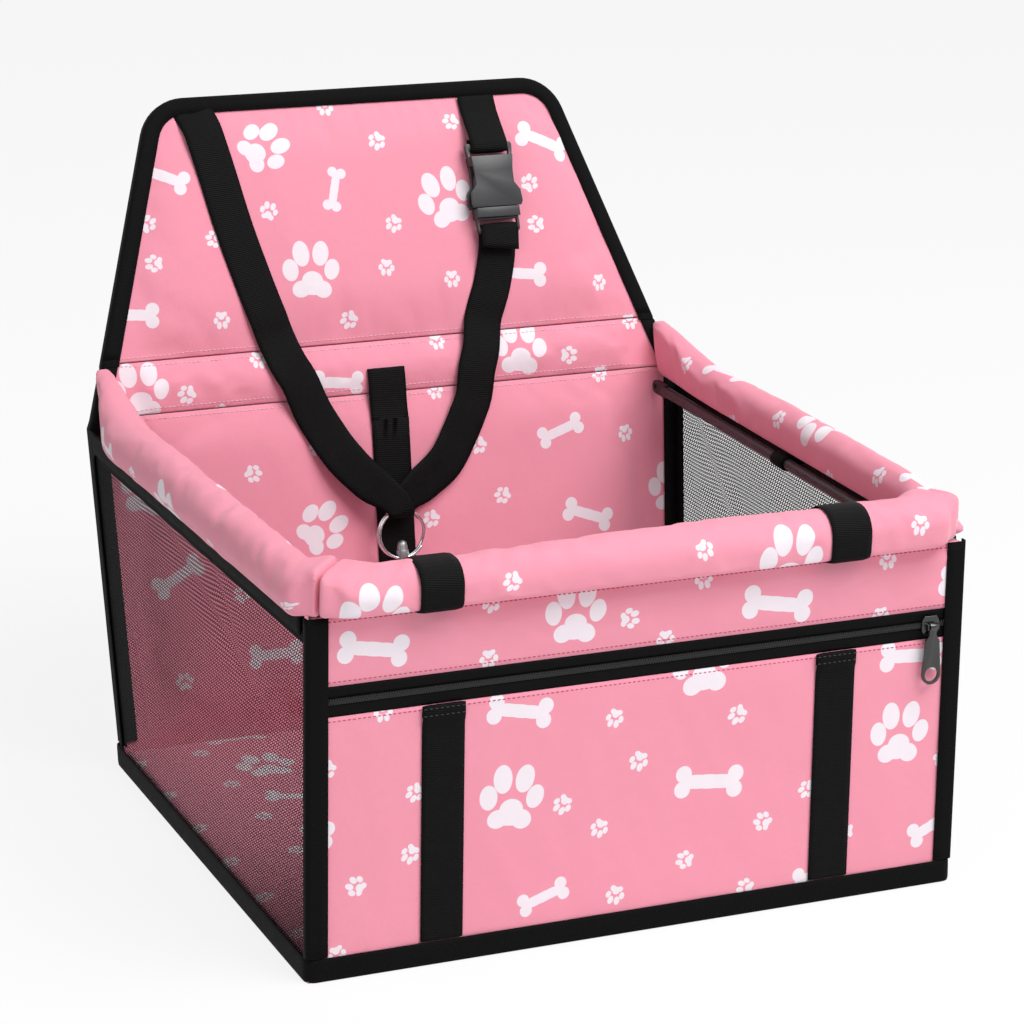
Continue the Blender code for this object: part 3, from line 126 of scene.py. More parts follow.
def white_sweep():
    sheet = bpy.data.materials.new("white_sweep")
    sheet.use_nodes = True
    tree = sheet.node_tree
    tree.nodes.clear()
    matte = put(tree, "ShaderNodeBsdfDiffuse", {"Color": sweep_white})
    glow = put(tree, "ShaderNodeEmission", {"Color": (1, 1, 1, 1), "Strength": backdrop_white})
    share = arithmetic(tree, "MULTIPLY", seen_directly(tree), sweep_glow)
    both = put(tree, "ShaderNodeMixShader", {0: share, 1: matte, 2: glow})
    tree.links.new(both, tree.nodes.new("ShaderNodeOutputMaterial").inputs[0])
    return sheet


floor_mesh = bpy.data.meshes.new("studio_floor")
corners = [(x * floor_reach, y * floor_reach) for x, y in ((-1, -1), (1, -1), (1, 1), (-1, 1))]
floor_mesh.from_pydata([(x, y, sweep_level) for x, y in corners], [], [(0, 1, 2, 3)])
floor_mesh.materials.append(white_sweep())
link_object("studio_floor", floor_mesh)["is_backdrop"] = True

world = bpy.data.worlds.new("studio")
bpy.context.scene.world = world
world.use_nodes = True
air = world.node_tree
air.nodes.clear()
level = put(air, "ShaderNodeMix", {0: seen_directly(air), 2: room_light, 3: backdrop_white})
sky = put(air, "ShaderNodeBackground", {"Color": (1, 1, 1, 1), "Strength": level})
air.links.new(sky, air.nodes.new("ShaderNodeOutputWorld").inputs[0])
for name, place, size, power in soft_boxes:
    lamp_data = bpy.data.lights.new(name, "AREA")
    lamp_data.size = size
    lamp_data.energy = power
    lamp = bpy.data.objects.new(name, lamp_data)
    lamp.location = place
    lamp.rotation_euler = (lamps_look_at - Vector(place)).to_track_quat("-Z", "Y").to_euler()
    bpy.context.scene.collection.objects.link(lamp)

# The walls that everything is sewn to
# The basket is cut as flat panels: an upright front that leans back a little, sides that draw in
# towards the lower back corners, and a back that leans more above its lower seam.
seat_half = 0.200
base_back_half = 0.192
flap_top_half = 0.136
front_foot, back_foot = -0.163, 0.163
rail_level = 0.206
lower_seam_level, fold_level, flap_top_level = 0.2117, 0.2417, 0.390
front_lean, back_lean, flap_lean = radians(2.6), radians(11.15), radians(22.86)
gap = 0.0003
X, Y, Z = Vector((1, 0, 0)), Vector((0, 1, 0)), Vector((0, 0, 1))


class Wall:
    """A flat wall across the seat: x along its width, up its slope, out square to it, forwards."""

    def __init__(self, foot_y, foot_z, lean):
        self.foot = Vector((0, foot_y, foot_z))
        self.up = Vector((0, sin(lean), cos(lean)))
        self.out = Vector((0, -cos(lean), sin(lean)))

    def at(self, x, up, out):
        return self.foot + X * x + self.up * up + self.out * out

    def up_at(self, z):
        return (z - self.foot.z) / self.up.z

    def y_at(self, z):
        return self.foot.y + self.up.y * self.up_at(z)


front_wall = Wall(front_foot, 0, front_lean)
lower_back = Wall(back_foot, 0, back_lean)
fold_band = Wall(lower_back.y_at(lower_seam_level), lower_seam_level, flap_lean)
flap_wall = Wall(fold_band.y_at(fold_level), fold_level, flap_lean)
lower_length = lower_back.up_at(lower_seam_level)
band_length = fold_band.up_at(fold_level)
flap_length = flap_wall.up_at(flap_top_level)
front_length = front_wall.up_at(rail_level)


def half_width(z):
    if z <= rail_level:
        return base_back_half + (seat_half - base_back_half) * z / rail_level
    share = (z - rail_level) / (flap_top_level - rail_level)
    return seat_half + (flap_top_half - seat_half) * share


def side_point(side, y, z, out):
    front_y = front_wall.y_at(z)
    along = (y - front_y) / (lower_back.y_at(z) - front_y)
    drawn_in = (seat_half - base_back_half) * along * (1 - z / rail_level)
    return Vector((side * (seat_half - drawn_in + out), y, z))


def along_side(side, y, z, direction, reach):
    there = side_point(side, y + direction.y * reach, z + direction.z * reach, 0)
    return (there - side_point(side, y, z, 0)) / reach


def spread(start, end, count):
    return [start + (end - start) * step / count for step in range(count + 1)]


def clamp(share):
    return max(0.0, min(1.0, share))


def smooth(share):
    share = clamp(share)
    return share * share * (3 - 2 * share)


def swell(distance, ramp):
    return sin(pi / 2 * clamp(distance / ramp))


def ripple(x, y, size, seed):
    """Smooth random height from -1 to 1, with waves about this size."""
    return noise.noise(Vector((x / size, y / size, seed)))


# The printed cloth
# Rose-pink polyester with a plain weave, printed with white paws and bones of several sizes. Each
# panel carries the flat cloth as one UV map and its nearest printed figure as another.
cloth_pink = (0.900, 0.342, 0.447, 1)
cloth_pink_deep = (0.860, 0.285, 0.385, 1)
print_white = (0.900, 0.820, 0.880, 1)
cloth_roughness = 0.82
cloth_shine = {"Specular IOR Level": 0.3, "Sheen Weight": 0.22, "Sheen Roughness": 0.45}
weave_pitch, slub_scale = 0.00055, (40, 900, 0)
print_repeat = (121, 53)
small_paws, small_paw_size = ((36, 13, 40), (-30, -22, 150), (52, -18, -130)), 11.3
paw_parts = (
    ((0.015, -0.185), 0, (0.185, 0.160)), ((-0.180, -0.325), 20, (0.160, 0.140)),
    ((0.190, -0.325), -20, (0.160, 0.145)), ((0.005, -0.290), 0, (0.270, 0.135)),
    ((-0.360, -0.010), 8, (0.137, 0.186)), ((-0.170, 0.265), 8, (0.148, 0.215)),
    ((0.175, 0.275), -8, (0.143, 0.210)), ((0.365, 0.010), -14, (0.133, 0.178)),
)
bone_parts = (
    ((-0.18, 0.0), 0, (0.26, 0.098)), ((0.18, 0.0), 0, (0.26, 0.098)),
    ((0.0, 0.0), 0, (0.30, 0.100)),
    ((-0.385, 0.105), 0, (0.118, 0.118)), ((-0.385, -0.105), 0, (0.118, 0.118)),
    ((0.385, 0.105), 0, (0.118, 0.118)), ((0.385, -0.105), 0, (0.118, 0.118)),
)


def new_group(name, inputs, outputs, kind="ShaderNodeTree"):
    """A node group with its sockets, and the sockets of its input and output nodes."""
    group = bpy.data.node_groups.new(name, kind)
    for way, sockets in (("INPUT", inputs), ("OUTPUT", outputs)):
        for socket, value in sockets:
            group.interface.new_socket(socket, in_out=way, socket_type="NodeSocket" + value)
    given = group.nodes.new("NodeGroupInput").outputs
    return group, given, group.nodes.new("NodeGroupOutput").inputs


def figure(tree, point, parts):
    """Above zero inside a printed figure, which is a union of ellipses."""
    found = None
    for (across, up), angle, (wide, high) in parts:
        centred = put(
            tree, "ShaderNodeMapping",
            {0: point, 1: (across, up, 0), 2: (0, 0, radians(angle)), 3: (wide, high, 1)},
            vector_type="TEXTURE",
        )
        far = put(tree, "ShaderNodeVectorMath", {0: centred}, 1, operation="LENGTH")
        inside = arithmetic(tree, "SUBTRACT", 1.0, far)
        found = inside if found is None else arithmetic(tree, "MAXIMUM", found, inside)
    return found


printed, given, made = new_group(
    "paw_and_bone_print", [("Figure", "Vector"), ("Kind", "Float")], [("Mask", "Float")]
)
paw_field = figure(printed, given["Figure"], paw_parts)
bone_field = figure(printed, given["Figure"], bone_parts)
field = put(printed, "ShaderNodeMix", {0: given["Kind"], 2: paw_field, 3: bone_field})
edge = put(printed, "ShaderNodeMapRange", {0: field, 1: -0.02, 2: 0.03, 3: 0.0, 4: 1.0})
printed.links.new(edge, made["Mask"])

woven, given, made = new_group(
    "plain_weave", [("Cloth", "Vector"), ("Pitch", "Float")],
    [("Height", "Float"), ("Slub", "Float")],
)
scaled = put(
    woven, "ShaderNodeVectorMath", {0: given["Cloth"], 1: (pi, pi, 0)}, operation="MULTIPLY"
)
rate = arithmetic(woven, "DIVIDE", 1.0, given["Pitch"])
turns = put(woven, "ShaderNodeVectorMath", {0: scaled, 3: rate}, operation="SCALE")
warp = put(woven, "ShaderNodeSeparateXYZ", {0: turns})
weft = warp.node.outputs[1]
waves = [arithmetic(woven, "SINE", thread) for thread in (warp, weft)]
woven.links.new(arithmetic(woven, "MULTIPLY", *waves), made["Height"])
drawn = put(
    woven, "ShaderNodeVectorMath", {0: given["Cloth"], 1: slub_scale}, operation="MULTIPLY"
)
slub = put(woven, "ShaderNodeTexNoise", {"Vector": drawn, "Scale": 1.0, "Detail": 2.0})
woven.links.new(slub, made["Slub"])


def new_material(name, slot, roughness, others=None):
    """A material with its shader, remembered with the record's slot that it belongs to."""
    surface = bpy.data.materials.new(name)
    surface.use_nodes = True
    surface["slot"] = slot
    shader = surface.node_tree.nodes["Principled BSDF"].inputs
    for socket, value in ({"Roughness": roughness} | (others or {})).items():
        shader[socket].default_value = value
    return surface, surface.node_tree, shader


def two_tones(tree, share, first, second):
    return put(tree, "ShaderNodeMix", {0: share, 6: first, 7: second}, 2, data_type="RGBA")


def relief(tree, strength, distance, height, under=None):
    values = {"Strength": strength, "Distance": distance, "Height": height}
    return put(tree, "ShaderNodeBump", values | ({"Normal": under} if under else {}))


def use_group(tree, group, values):
    return put(tree, "ShaderNodeGroup", values, node_tree=group).node.outputs


def cloth_material(name, light, deep, slot, with_print):
    """Woven cloth whose colour drifts a little, with the print over it."""
    surface, tree, shader = new_material(name, slot, cloth_roughness, cloth_shine)
    flat = put(tree, "ShaderNodeUVMap", uv_map="flat")
    weave = use_group(tree, woven, {"Cloth": flat, "Pitch": weave_pitch})
    drift = put(tree, "ShaderNodeTexNoise", {"Vector": flat, "Scale": 9.0, "Detail": 3.0})
    drift = arithmetic(tree, "MULTIPLY", drift, 0.55)
    blotch = arithmetic(tree, "MULTIPLY_ADD", weave["Slub"], 0.30, drift)
    colour = two_tones(tree, blotch, light, deep)
    if with_print:
        spot = put(tree, "ShaderNodeUVMap", uv_map="figure")
        kind = put(tree, "ShaderNodeAttribute", output=2, attribute_name="kind")
        mask = use_group(tree, printed, {"Figure": spot, "Kind": kind})["Mask"]
        colour = two_tones(tree, mask, colour, print_white)
    tree.links.new(colour, shader["Base Color"])
    fine = relief(tree, 0.35, 0.00012, weave["Height"])
    crease = put(tree, "ShaderNodeTexNoise", {"Vector": flat, "Scale": 70.0, "Detail": 4.0})
    tree.links.new(relief(tree, 0.35, 0.0009, crease, fine), shader["Normal"])
    return surface


printed_cloth = cloth_material("printed_cloth", cloth_pink, cloth_pink_deep, "printed_fabric", True)
plain_cloth = cloth_material("plain_cloth", cloth_pink, cloth_pink_deep, "plain_fabric", False)


def new_mesh(name, points, faces, surface, flat_uv):
    """A smooth mesh with the flat cloth as its first UV map, one (u, v) for each face corner."""
    mesh = bpy.data.meshes.new(name)
    mesh.from_pydata([tuple(point) for point in points], [], faces)
    layer = mesh.uv_layers.new(name="flat")
    layer.data.foreach_set("uv", np.array(flat_uv, np.float32).ravel())
    work = bmesh.new()
    work.from_mesh(mesh)
    bmesh.ops.recalc_face_normals(work, faces=work.faces)
    work.to_mesh(mesh)
    work.free()
    mesh.materials.append(surface)
    mesh.shade_smooth()
    return link_object(name, mesh)


def as_function(value):
    """A plain number stands for a function that always gives it."""
    return value if callable(value) else lambda *place: value


def sewn_shell(name, columns, rows, place, flat, surface):
    """A closed shell: place(column, row, face) gives its back (0) and front (1) points."""
    def index(column, row, face):
        return (face * rows + row) * columns + column

    points = [
        place(column, row, face)
        for face in (0, 1) for row in range(rows) for column in range(columns)
    ]
    faces = []
    for row in range(rows - 1):
        for column in range(columns - 1):
            ring = [(column, row), (column + 1, row), (column + 1, row + 1), (column, row + 1)]
            faces.append([index(*corner, 1) for corner in ring])
            faces.append([index(*corner, 0) for corner in reversed(ring)])
    rim = [(column, 0) for column in range(columns)]
    rim += [(columns - 1, row) for row in range(1, rows)]
    rim += [(column, rows - 1) for column in range(columns - 2, -1, -1)]
    rim += [(0, row) for row in range(rows - 2, 0, -1)]
    for here, there in zip(rim, rim[1:] + rim[:1]):
        faces.append([index(*here, 0), index(*there, 0), index(*there, 1), index(*here, 1)])
    size = columns * rows
    uv = [
        flat(corner % size % columns, corner % size // columns) for face in faces for corner in face
    ]
    return new_mesh(name, points, faces, surface, uv)


def read(items, what, width=3, kind=np.float32):
    """One property of many items of a mesh, a row for each."""
    values = np.empty(len(items) * width, kind)
    items.foreach_get(what, values)
    return values.reshape(-1, width)


def lay_print(piece, figures):
    """Gives each face its nearest figure of the print: kind, x and up, degrees, size, in mm."""
    mesh = piece.data
    flat = read(mesh.uv_layers["flat"].data, "uv", 2)
    starts = read(mesh.polygons, "loop_start", 1, np.int32).ravel()
    totals = read(mesh.polygons, "loop_total", 1, np.int32).ravel()
    owner = np.repeat(np.arange(len(starts)), totals)
    centres = np.add.reduceat(flat, starts) / totals[:, None]
    table = np.array([
        (x / 1000, up / 1000, radians(angle), size / 1000, kind == "bone")
        for kind, x, up, angle, size in figures
    ])
    far = np.linalg.norm(centres[:, None] - table[None, :, :2], axis=2) / table[None, :, 3]
    chosen = table[far.argmin(1)]
    nearest = chosen[owner]
    right, up = (flat - nearest[:, :2]).T
    turn_cos, turn_sin = np.cos(nearest[:, 2]), np.sin(nearest[:, 2])
    local = np.stack([right * turn_cos + up * turn_sin, up * turn_cos - right * turn_sin], 1)
    figure_uv = mesh.uv_layers.new(name="figure")
    figure_uv.data.foreach_set("uv", (local / nearest[:, 3:4]).astype(np.float32).ravel())
    kind = mesh.attributes.new("kind", "FLOAT", "FACE")
    kind.data.foreach_set("value", chosen[:, 4].astype(np.float32))


def scattered_print(low, high, seed):
    """The print's own repeat: paws and bones by turns on a grid, with small paws between."""
    figures = []
    wide, tall = print_repeat
    for column in range(-3, 4):
        for row in range(int(low / tall) - 1, int(high / tall) + 2):
            x = column * wide + 10 * noise.noise(Vector((column, row, seed)))
            up = row * tall + 6 * noise.noise(Vector((row, column, seed + 5)))
            angle = 70 * noise.noise(Vector((column * 0.7, row * 1.3, seed + 9)))
            kind, size = ("paw", 37) if (column + row) % 2 else ("bone", 38)
            figures.append((kind, x, up, angle, size))
            for aside, above, tilt in small_paws:
                figures.append(("paw", x + aside, up + above, angle + tilt, small_paw_size))
    return figures


def finish_piece(piece, body, *nodes):
    """What every piece gets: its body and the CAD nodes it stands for."""
    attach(piece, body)
    if nodes:
        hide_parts(*nodes)
    return piece


# The base
# A plain cloth cover under a stiff board, and over it the padded floor that the dog lies on,
# covered in the printed cloth and held down by stitches round its edge.
cover_high = 0.0015
floor_low, floor_edge, floor_crown, floor_ramp = 0.0051, 0.0101, 0.0040, 0.030
floor_front, floor_back, floor_side = 0.0083, 0.0003, 0.0030
cloth_step = 0.005
cover_back = -0.0064


def base_sheet(name, low, high, front_inset, back_y, side_inset, surface, step=cloth_step):
    """A layer of the base; high is a function of the place, or a number."""
    front_y, high = front_foot + front_inset, as_function(high)
    ys = spread(front_y, back_y, max(2, round((back_y - front_y) / step)))
    halves = [side_point(1, y, 0, -side_inset).x for y in ys]
    shares = spread(-1, 1, max(2, round(2 * seat_half / step)))

    def place(column, row, face):
        x, y = halves[row] * shares[column], ys[row]
        return Vector((x, y, high(x, y, halves[row]) if face else low))

    def flat(column, row):
        return halves[row] * shares[column], ys[row]

    return sewn_shell(name, len(shares), len(ys), place, flat, surface)


def floor_height(x, y, half):
    near_end = min(y - front_foot - floor_front, back_foot - floor_back - y)
    rise = swell(half - abs(x), floor_ramp) * swell(near_end, floor_ramp)
    quilting = 0.0006 * ripple(x, y, 0.045, 3) * rise
    return floor_edge + floor_crown * rise + quilting


back_outer_foot = back_foot - cover_back / cos(back_lean)
under_cover = base_sheet(
    "under_cover", 0.0, cover_high, 0, back_outer_foot, 0, plain_cloth, 2 * cloth_step
)
finish_piece(under_cover, "basket", "base_cover")
floor_pad = base_sheet(
    "floor_pad", floor_low, floor_height, floor_front, back_foot - floor_back, floor_side,
    printed_cloth,
)
lay_print(floor_pad, scattered_print(-170, 170, 4))
finish_piece(floor_pad, "basket", "base_pad")

# Boards, foam and rods inside the walls
# Grey foam sheet stiffens the base, the front, the back and the flap, and black plastic rods the
# front and the sides. These solids keep their shape and get a finish. Soft foam fills the rails.
foam_cells = 700.0


def cellular(name, slot, roughness, light, dark):
    """A finish with small cells in it."""
    surface, tree, shader = new_material(name, slot, roughness)
    place = put(tree, "ShaderNodeTexCoord", output=3)
    cells = put(tree, "ShaderNodeTexVoronoi", {"Vector": place, "Scale": foam_cells})
    tree.links.new(two_tones(tree, cells, light, dark), shader["Base Color"])
    tree.links.new(relief(tree, 0.5, 0.0005, cells), shader["Normal"])
    return surface


def dress(mesh, surface):
    mesh.materials.clear()
    mesh.materials.append(surface)


grey_foam = cellular(
    "grey_foam_sheet", "stiff_board", 0.85, (0.30, 0.30, 0.29, 1), (0.22, 0.22, 0.22, 1)
)
black_rod = cellular(
    "black_rod", "rod_plastic", 0.38, (0.012, 0.009, 0.009, 1), (0.007, 0.006, 0.006, 1)
)
soft_foam = cellular("soft_foam", "foam", 0.95, (0.72, 0.71, 0.66, 1), (0.60, 0.59, 0.54, 1))
for node in ("base_board", "front_board", "back_board", "flap_board"):
    dress(frame["nodes"][node].data, grey_foam)
for node in ("front_rod", "left_rod", "right_rod"):
    dress(frame["nodes"][node].data, black_rod)

# The front: pocket panel, the strip over the zip and the lining inside
# The pocket is a loose printed panel that bulges a little between its straps. The strip above it is
# sewn to the zip and to the rail, and both lie over a stiffened wall with a padded lining.
front_half = seat_half - 0.003
front_start = 0.00214
front_high = front_length - gap
zip_low, zip_tape_height, zip_chain_height = 0.1500, 0.0064, 0.0034
chain_low = zip_low + zip_tape_height + gap
chain_high = chain_low + zip_chain_height
zip_upper_low = chain_high + gap
zip_high = zip_upper_low + zip_tape_height
front_strap_xs = (-0.1220, 0.1190)
webbing_width, webbing_thickness = 0.0252, 0.0013
panel_back, pocket_sheet_back, pocket_sheet_face = -0.0012, -0.0023, -0.0015
pocket_crown, pocket_ramp, strap_hold_reach = 0.0011, 0.022, 0.02
strip_crown, strip_ramp = 0.0015, 0.011
lining_face, lining_back_face, lining_crown, lining_ramp = -0.0067, -0.0074, 0.0025, 0.025
lining_low = 0.0144
front_figures = (
    ("paw", -80.8, 90.5, -7, 38.7), ("bone", -76.3, 139.4, -11, 39.0),
    ("bone", -60.7, 29.3, 17, 31.1), ("paw", -19.1, 128.0, 162, 11.2),
    ("paw", -3.5, 100.8, 158, 11.8), ("paw", -49.9, 81.8, 142, 11.7),
    ("paw", -26.9, 64.6, 155, 11.1), ("paw", -16.4, 23.7, 164, 11.7),
    ("paw", -172.6, 52.3, 55, 12.0), ("paw", -140.7, 65.9, 145, 11.3),
    ("paw", -138.2, 100.9, 133, 11.0), ("paw", -189.7, 121.0, 130, 11.0),
    ("bone", -203.4, 86.5, -11, 36.2), ("paw", -183.4, 14.4, -168, 10.8),
    ("paw", -156.9, 149.0, -178, 11.2), ("paw", 34.9, 153.8, 5, 39.1),
    ("bone", 168.9, 141.0, -4, 40.7), ("paw", 163.0, 95.8, -4, 38.0),
    ("bone", 40.9, 82.8, -6, 42.6), ("paw", 57.5, 120.1, 129, 11.8), ("paw", 75.7, 54.3, 58, 11.8),
    ("paw", 26.7, 38.3, 75, 11.2), ("paw", 66.0, 15.8, 74, 11.2), ("paw", 103.9, 69.5, 120, 11.0),
    ("bone", 188.8, 36.4, 23, 35.2), ("paw", 192.0, 76.8, 170, 11.0), ("bone", 97.0, 5.0, 60, 34.0),
    ("paw", -127.0, 62.0, 30, 11.0), ("paw", 130.0, 40.0, 90, 11.0),
)
strip_figures = (
    ("bone", -163.0, 185.4, -10, 40.7), ("paw", -44.3, 192.1, -4, 36.7),
    ("paw", -94.6, 202.8, 139, 11.0), ("paw", -11.5, 184.8, -85, 12.0),
    ("paw", 11.3, 169.6, -178, 11.3), ("paw", -95.6, 171.5, -179, 11.3),
    ("bone", 80.5, 182.3, -10, 43.6), ("paw", 33.8, 201.7, -175, 11.3),
    ("paw", 150.4, 199.8, -174, 11.3), ("paw", 147.4, 167.0, -177, 11.3),
    ("bone", 205.7, 181.0, -9, 41.7),
)


def wall_shell(name, wall, ups, half, back, front, surface, step=cloth_step):
    """A shell over a wall; half(up) is half its width, back(x, up) and front(x, up) its faces."""
    half, back, front = as_function(half), as_function(back), as_function(front)
    widest = max(half(up) for up in ups)
    shares = spread(-1, 1, max(2, round(2 * widest / step)))

    def place(column, row, face):
        up = ups[row]
        x = half(up) * shares[column]
        return wall.at(x, up, (back, front)[face](x, up))

    def flat(column, row):
        return half(ups[row]) * shares[column], ups[row]

    return sewn_shell(name, len(shares), len(ups), place, flat, surface)


def pocket_bulge(x, up):
    near = min(front_half - abs(x), up - front_start, zip_low - gap - up)
    straps = min(abs(x - strap) for strap in front_strap_xs)
    hold = clamp((straps - webbing_width / 2) / strap_hold_reach)
    soft = 0.5 + 0.5 * ripple(x, up, 0.06, 11)
    folds = 0.35 * ripple(x * 2.2 + up, up * 0.6 - x * 0.4, 0.03, 17)
    return pocket_crown * swell(near, pocket_ramp) * hold * (soft + folds)


def strip_bulge(x, up):
    near = min(front_half - abs(x), up - zip_high - gap, front_high - up)
    soft = 0.6 + 0.5 * ripple(x, up, 0.035, 21)
    folds = 0.45 * ripple(x * 1.6, up * 3.0, 0.020, 23)
    return strip_crown * swell(near, strip_ramp) * max(0.0, soft + folds)


pocket_panel = wall_shell(
    "pocket_cloth", front_wall, spread(front_start, zip_low - gap, 44), front_half, panel_back,
    pocket_bulge, printed_cloth, 0.0036,
)
lay_print(pocket_panel, front_figures)
finish_piece(pocket_panel, "basket", "pocket_panel")
front_band = wall_shell(
    "front_band", front_wall, spread(zip_high + gap, front_high, 14), front_half, panel_back,
    strip_bulge, printed_cloth, 0.0028,
)
lay_print(front_band, strip_figures)
finish_piece(front_band, "basket", "front_strip")
pocket_sheet = wall_shell(
    "pocket_back_cloth", front_wall, spread(front_start, front_high, 40), front_half,
    pocket_sheet_back, lambda x, up: pocket_sheet_face + 0.00008 * ripple(x, up, 0.05, 29),
    plain_cloth, 0.006,
)
finish_piece(pocket_sheet, "basket", "pocket_back")


def inner_front_face(x, up):
    near_side = front_half - abs(x)
    near_end = min(up - lining_low, front_high - up)
    rise = swell(near_side, lining_ramp) * swell(near_end, lining_ramp)
    return lining_back_face - (lining_crown + 0.0003 * ripple(x, up, 0.05, 31)) * rise


inner_front = wall_shell(
    "inner_front", front_wall, spread(front_start, front_high, 42), front_half,
    inner_front_face, lining_face, printed_cloth,
)
lay_print(inner_front, scattered_print(0, 210, 12))
finish_piece(inner_front, "basket", "front_lining")

# Stitches
# One row of thread holds each seam: short raised lengths with a small gap between them. A node tree
# lays them along a line, and the rows of one colour on one body become a single piece.
stitch_length, stitch_pitch, stitch_radius = 0.0020, 0.0029, 0.00034
row_step, thread_lift = 0.006, 0.0001
front_row_inset, zip_row_inset, top_row_inset = 0.006, 0.0026, 0.0030


def stitch_tree():
    shape = [("Geometry", "Geometry")]
    tree, given, made = new_group("stitch_row", shape, shape, "GeometryNodeTree")
    curve = put(tree, "GeometryNodeMeshToCurve", {0: given["Geometry"]})
    steps = {"Curve": curve, "Length": stitch_pitch}
    places = put(tree, "GeometryNodeCurveToPoints", steps, mode="LENGTH").node.outputs
    bead = put(tree, "GeometryNodeMeshUVSphere", {"Segments": 6, "Rings": 5, "Radius": 0.5})
    rows = put(tree, "GeometryNodeInstanceOnPoints", {
        "Points": places["Points"], "Instance": bead, "Rotation": places["Rotation"],
        "Scale": (2 * stitch_radius, 2 * stitch_radius, stitch_length),
    })
    solid = put(tree, "GeometryNodeRealizeInstances", {0: rows})
    tree.links.new(put(tree, "GeometryNodeSetShadeSmooth", {0: solid}), made["Geometry"])
    return tree


def object_noise(tree, scale, detail):
    place = put(tree, "ShaderNodeTexCoord", output=3)
    return put(tree, "ShaderNodeTexNoise", {"Vector": place, "Scale": scale, "Detail": detail})


def thread_material(name, colour, slot):
    surface, tree, shader = new_material(name, slot, 0.7)
    dark = tuple(0.7 * value for value in colour[:3]) + (1,)
    twist = object_noise(tree, 1800.0, 2.0)
    tree.links.new(two_tones(tree, twist, colour, dark), shader["Base Color"])
    return surface


stitch_nodes = stitch_tree()
pink_thread = thread_material("pink_thread", (0.55, 0.10, 0.19, 1), "printed_fabric")
pale_thread = thread_material("pale_thread", (0.95, 0.62, 0.68, 1), "printed_fabric")
black_thread = thread_material("black_thread", (0.030, 0.030, 0.032, 1), "black_tape")


def plain_mesh(piece, keep_all=False):
    """The mesh that a piece has with its modifiers applied."""
    view = bpy.context.evaluated_depsgraph_get()
    return bpy.data.meshes.new_from_object(
        piece.evaluated_get(view), preserve_all_data_layers=keep_all, depsgraph=view
    )


def planted(name, points, edges, tree, surface, cell=None):
    """The plain mesh that a node tree makes on points and edges, with copies of a cell."""
    mesh = bpy.data.meshes.new(name)
    mesh.from_pydata(points, edges, [])
    holder = link_object(name + "_line", mesh)
    modifier = holder.modifiers.new("planted", "NODES")
    modifier.node_group = tree
    for item in tree.interface.items_tree:
        if item.name == "Cell":
            modifier[item.identifier] = cell
    made = plain_mesh(holder)
    bpy.data.objects.remove(holder)
    dress(made, surface)
    return made


def stitch(name, rows, thread, body):
    """Rows of stitches along lists of points, as one piece."""
    points, edges = [], []
    for row in rows:
        edges += [(len(points) + step, len(points) + step + 1) for step in range(len(row) - 1)]
        points += [tuple(point) for point in row]
    made = planted(name, points, edges, stitch_nodes, thread)
    return finish_piece(link_object(name, made), body)


def on_strip(x, up):
    return strip_bulge(x, up) + thread_lift


def on_wall(wall, x_start, x_end, up, out):
    out = as_function(out)
    count = max(2, round(abs(x_end - x_start) / row_step))
    return [wall.at(x, up, out(x, up)) for x in spread(x_start, x_end, count)]


row_half = front_half - front_row_inset
stitch("front_stitches", [
    on_wall(front_wall, -row_half, row_half, zip_high + zip_row_inset, on_strip),
    on_wall(front_wall, -row_half, row_half, front_high - top_row_inset, on_strip),
    on_wall(front_wall, -row_half, row_half, zip_low - zip_row_inset, thread_lift),
], pink_thread, "basket")


def along_seam(piece, wall, half, up):
    """A row of stitches across a wall, lying on the cloth of a piece as it has settled."""
    row = []
    for point in on_wall(wall, -half, half, up, 0.004):
        _, place, normal, _ = piece.closest_point_on_mesh(point)
        row.append(place + normal * thread_lift)
    return row


# Binding tape round the edges of the basket
# Black woven tape folded over each raw edge and sewn through: round the base, up the corners, round
# the mesh, up the back and round the flap. It is slightly uneven, as sewn tape is.
tape_black = (0.0014, 0.0014, 0.0016, 1)
tape_light = (0.0064, 0.0064, 0.0066, 1)
dull = {"Specular IOR Level": 0.08}
tape_step, tape_thickness, folded_wall, tape_uneven = 0.006, 0.0010, 0.0011, 0.0001
back_edge, fold_relief = 0.0014, 0.0023
binding_leg, bottom_height, bottom_turn = 0.0090, 0.0138, 0.0042
bottom_line = [
    (0.0009, 0.0006), (0.0013, 0.0012), (0.0014, 0.0030), (0.0013, 0.0070), (0.0012, 0.0110),
    (0.0010, 0.0132),
]
corner_out, corner_bend = 0.0011, 0.0020

ribbed, given, made = new_group(
    "ribbed_weave", [("Tape", "Vector"), ("Pitch", "Float")],
    [("Height", "Float"), ("Wear", "Float")],
)
rate = arithmetic(ribbed, "DIVIDE", 2 * pi, given["Pitch"])
turns = put(ribbed, "ShaderNodeVectorMath", {0: given["Tape"], 3: rate}, operation="SCALE")
along = put(ribbed, "ShaderNodeSeparateXYZ", {0: turns})
across = along.node.outputs[1]
slanting = arithmetic(ribbed, "ADD", along, arithmetic(ribbed, "MULTIPLY", across, 0.12))
twill = arithmetic(ribbed, "SINE", slanting)
ribs = arithmetic(ribbed, "MULTIPLY", arithmetic(ribbed, "SINE", across), 0.3)
ribbed.links.new(arithmetic(ribbed, "MULTIPLY_ADD", twill, 0.7, ribs), made["Height"])
lint = put(ribbed, "ShaderNodeTexNoise", {"Vector": given["Tape"], "Scale": 160.0, "Detail": 4.0})
ribbed.links.new(lint, made["Wear"])


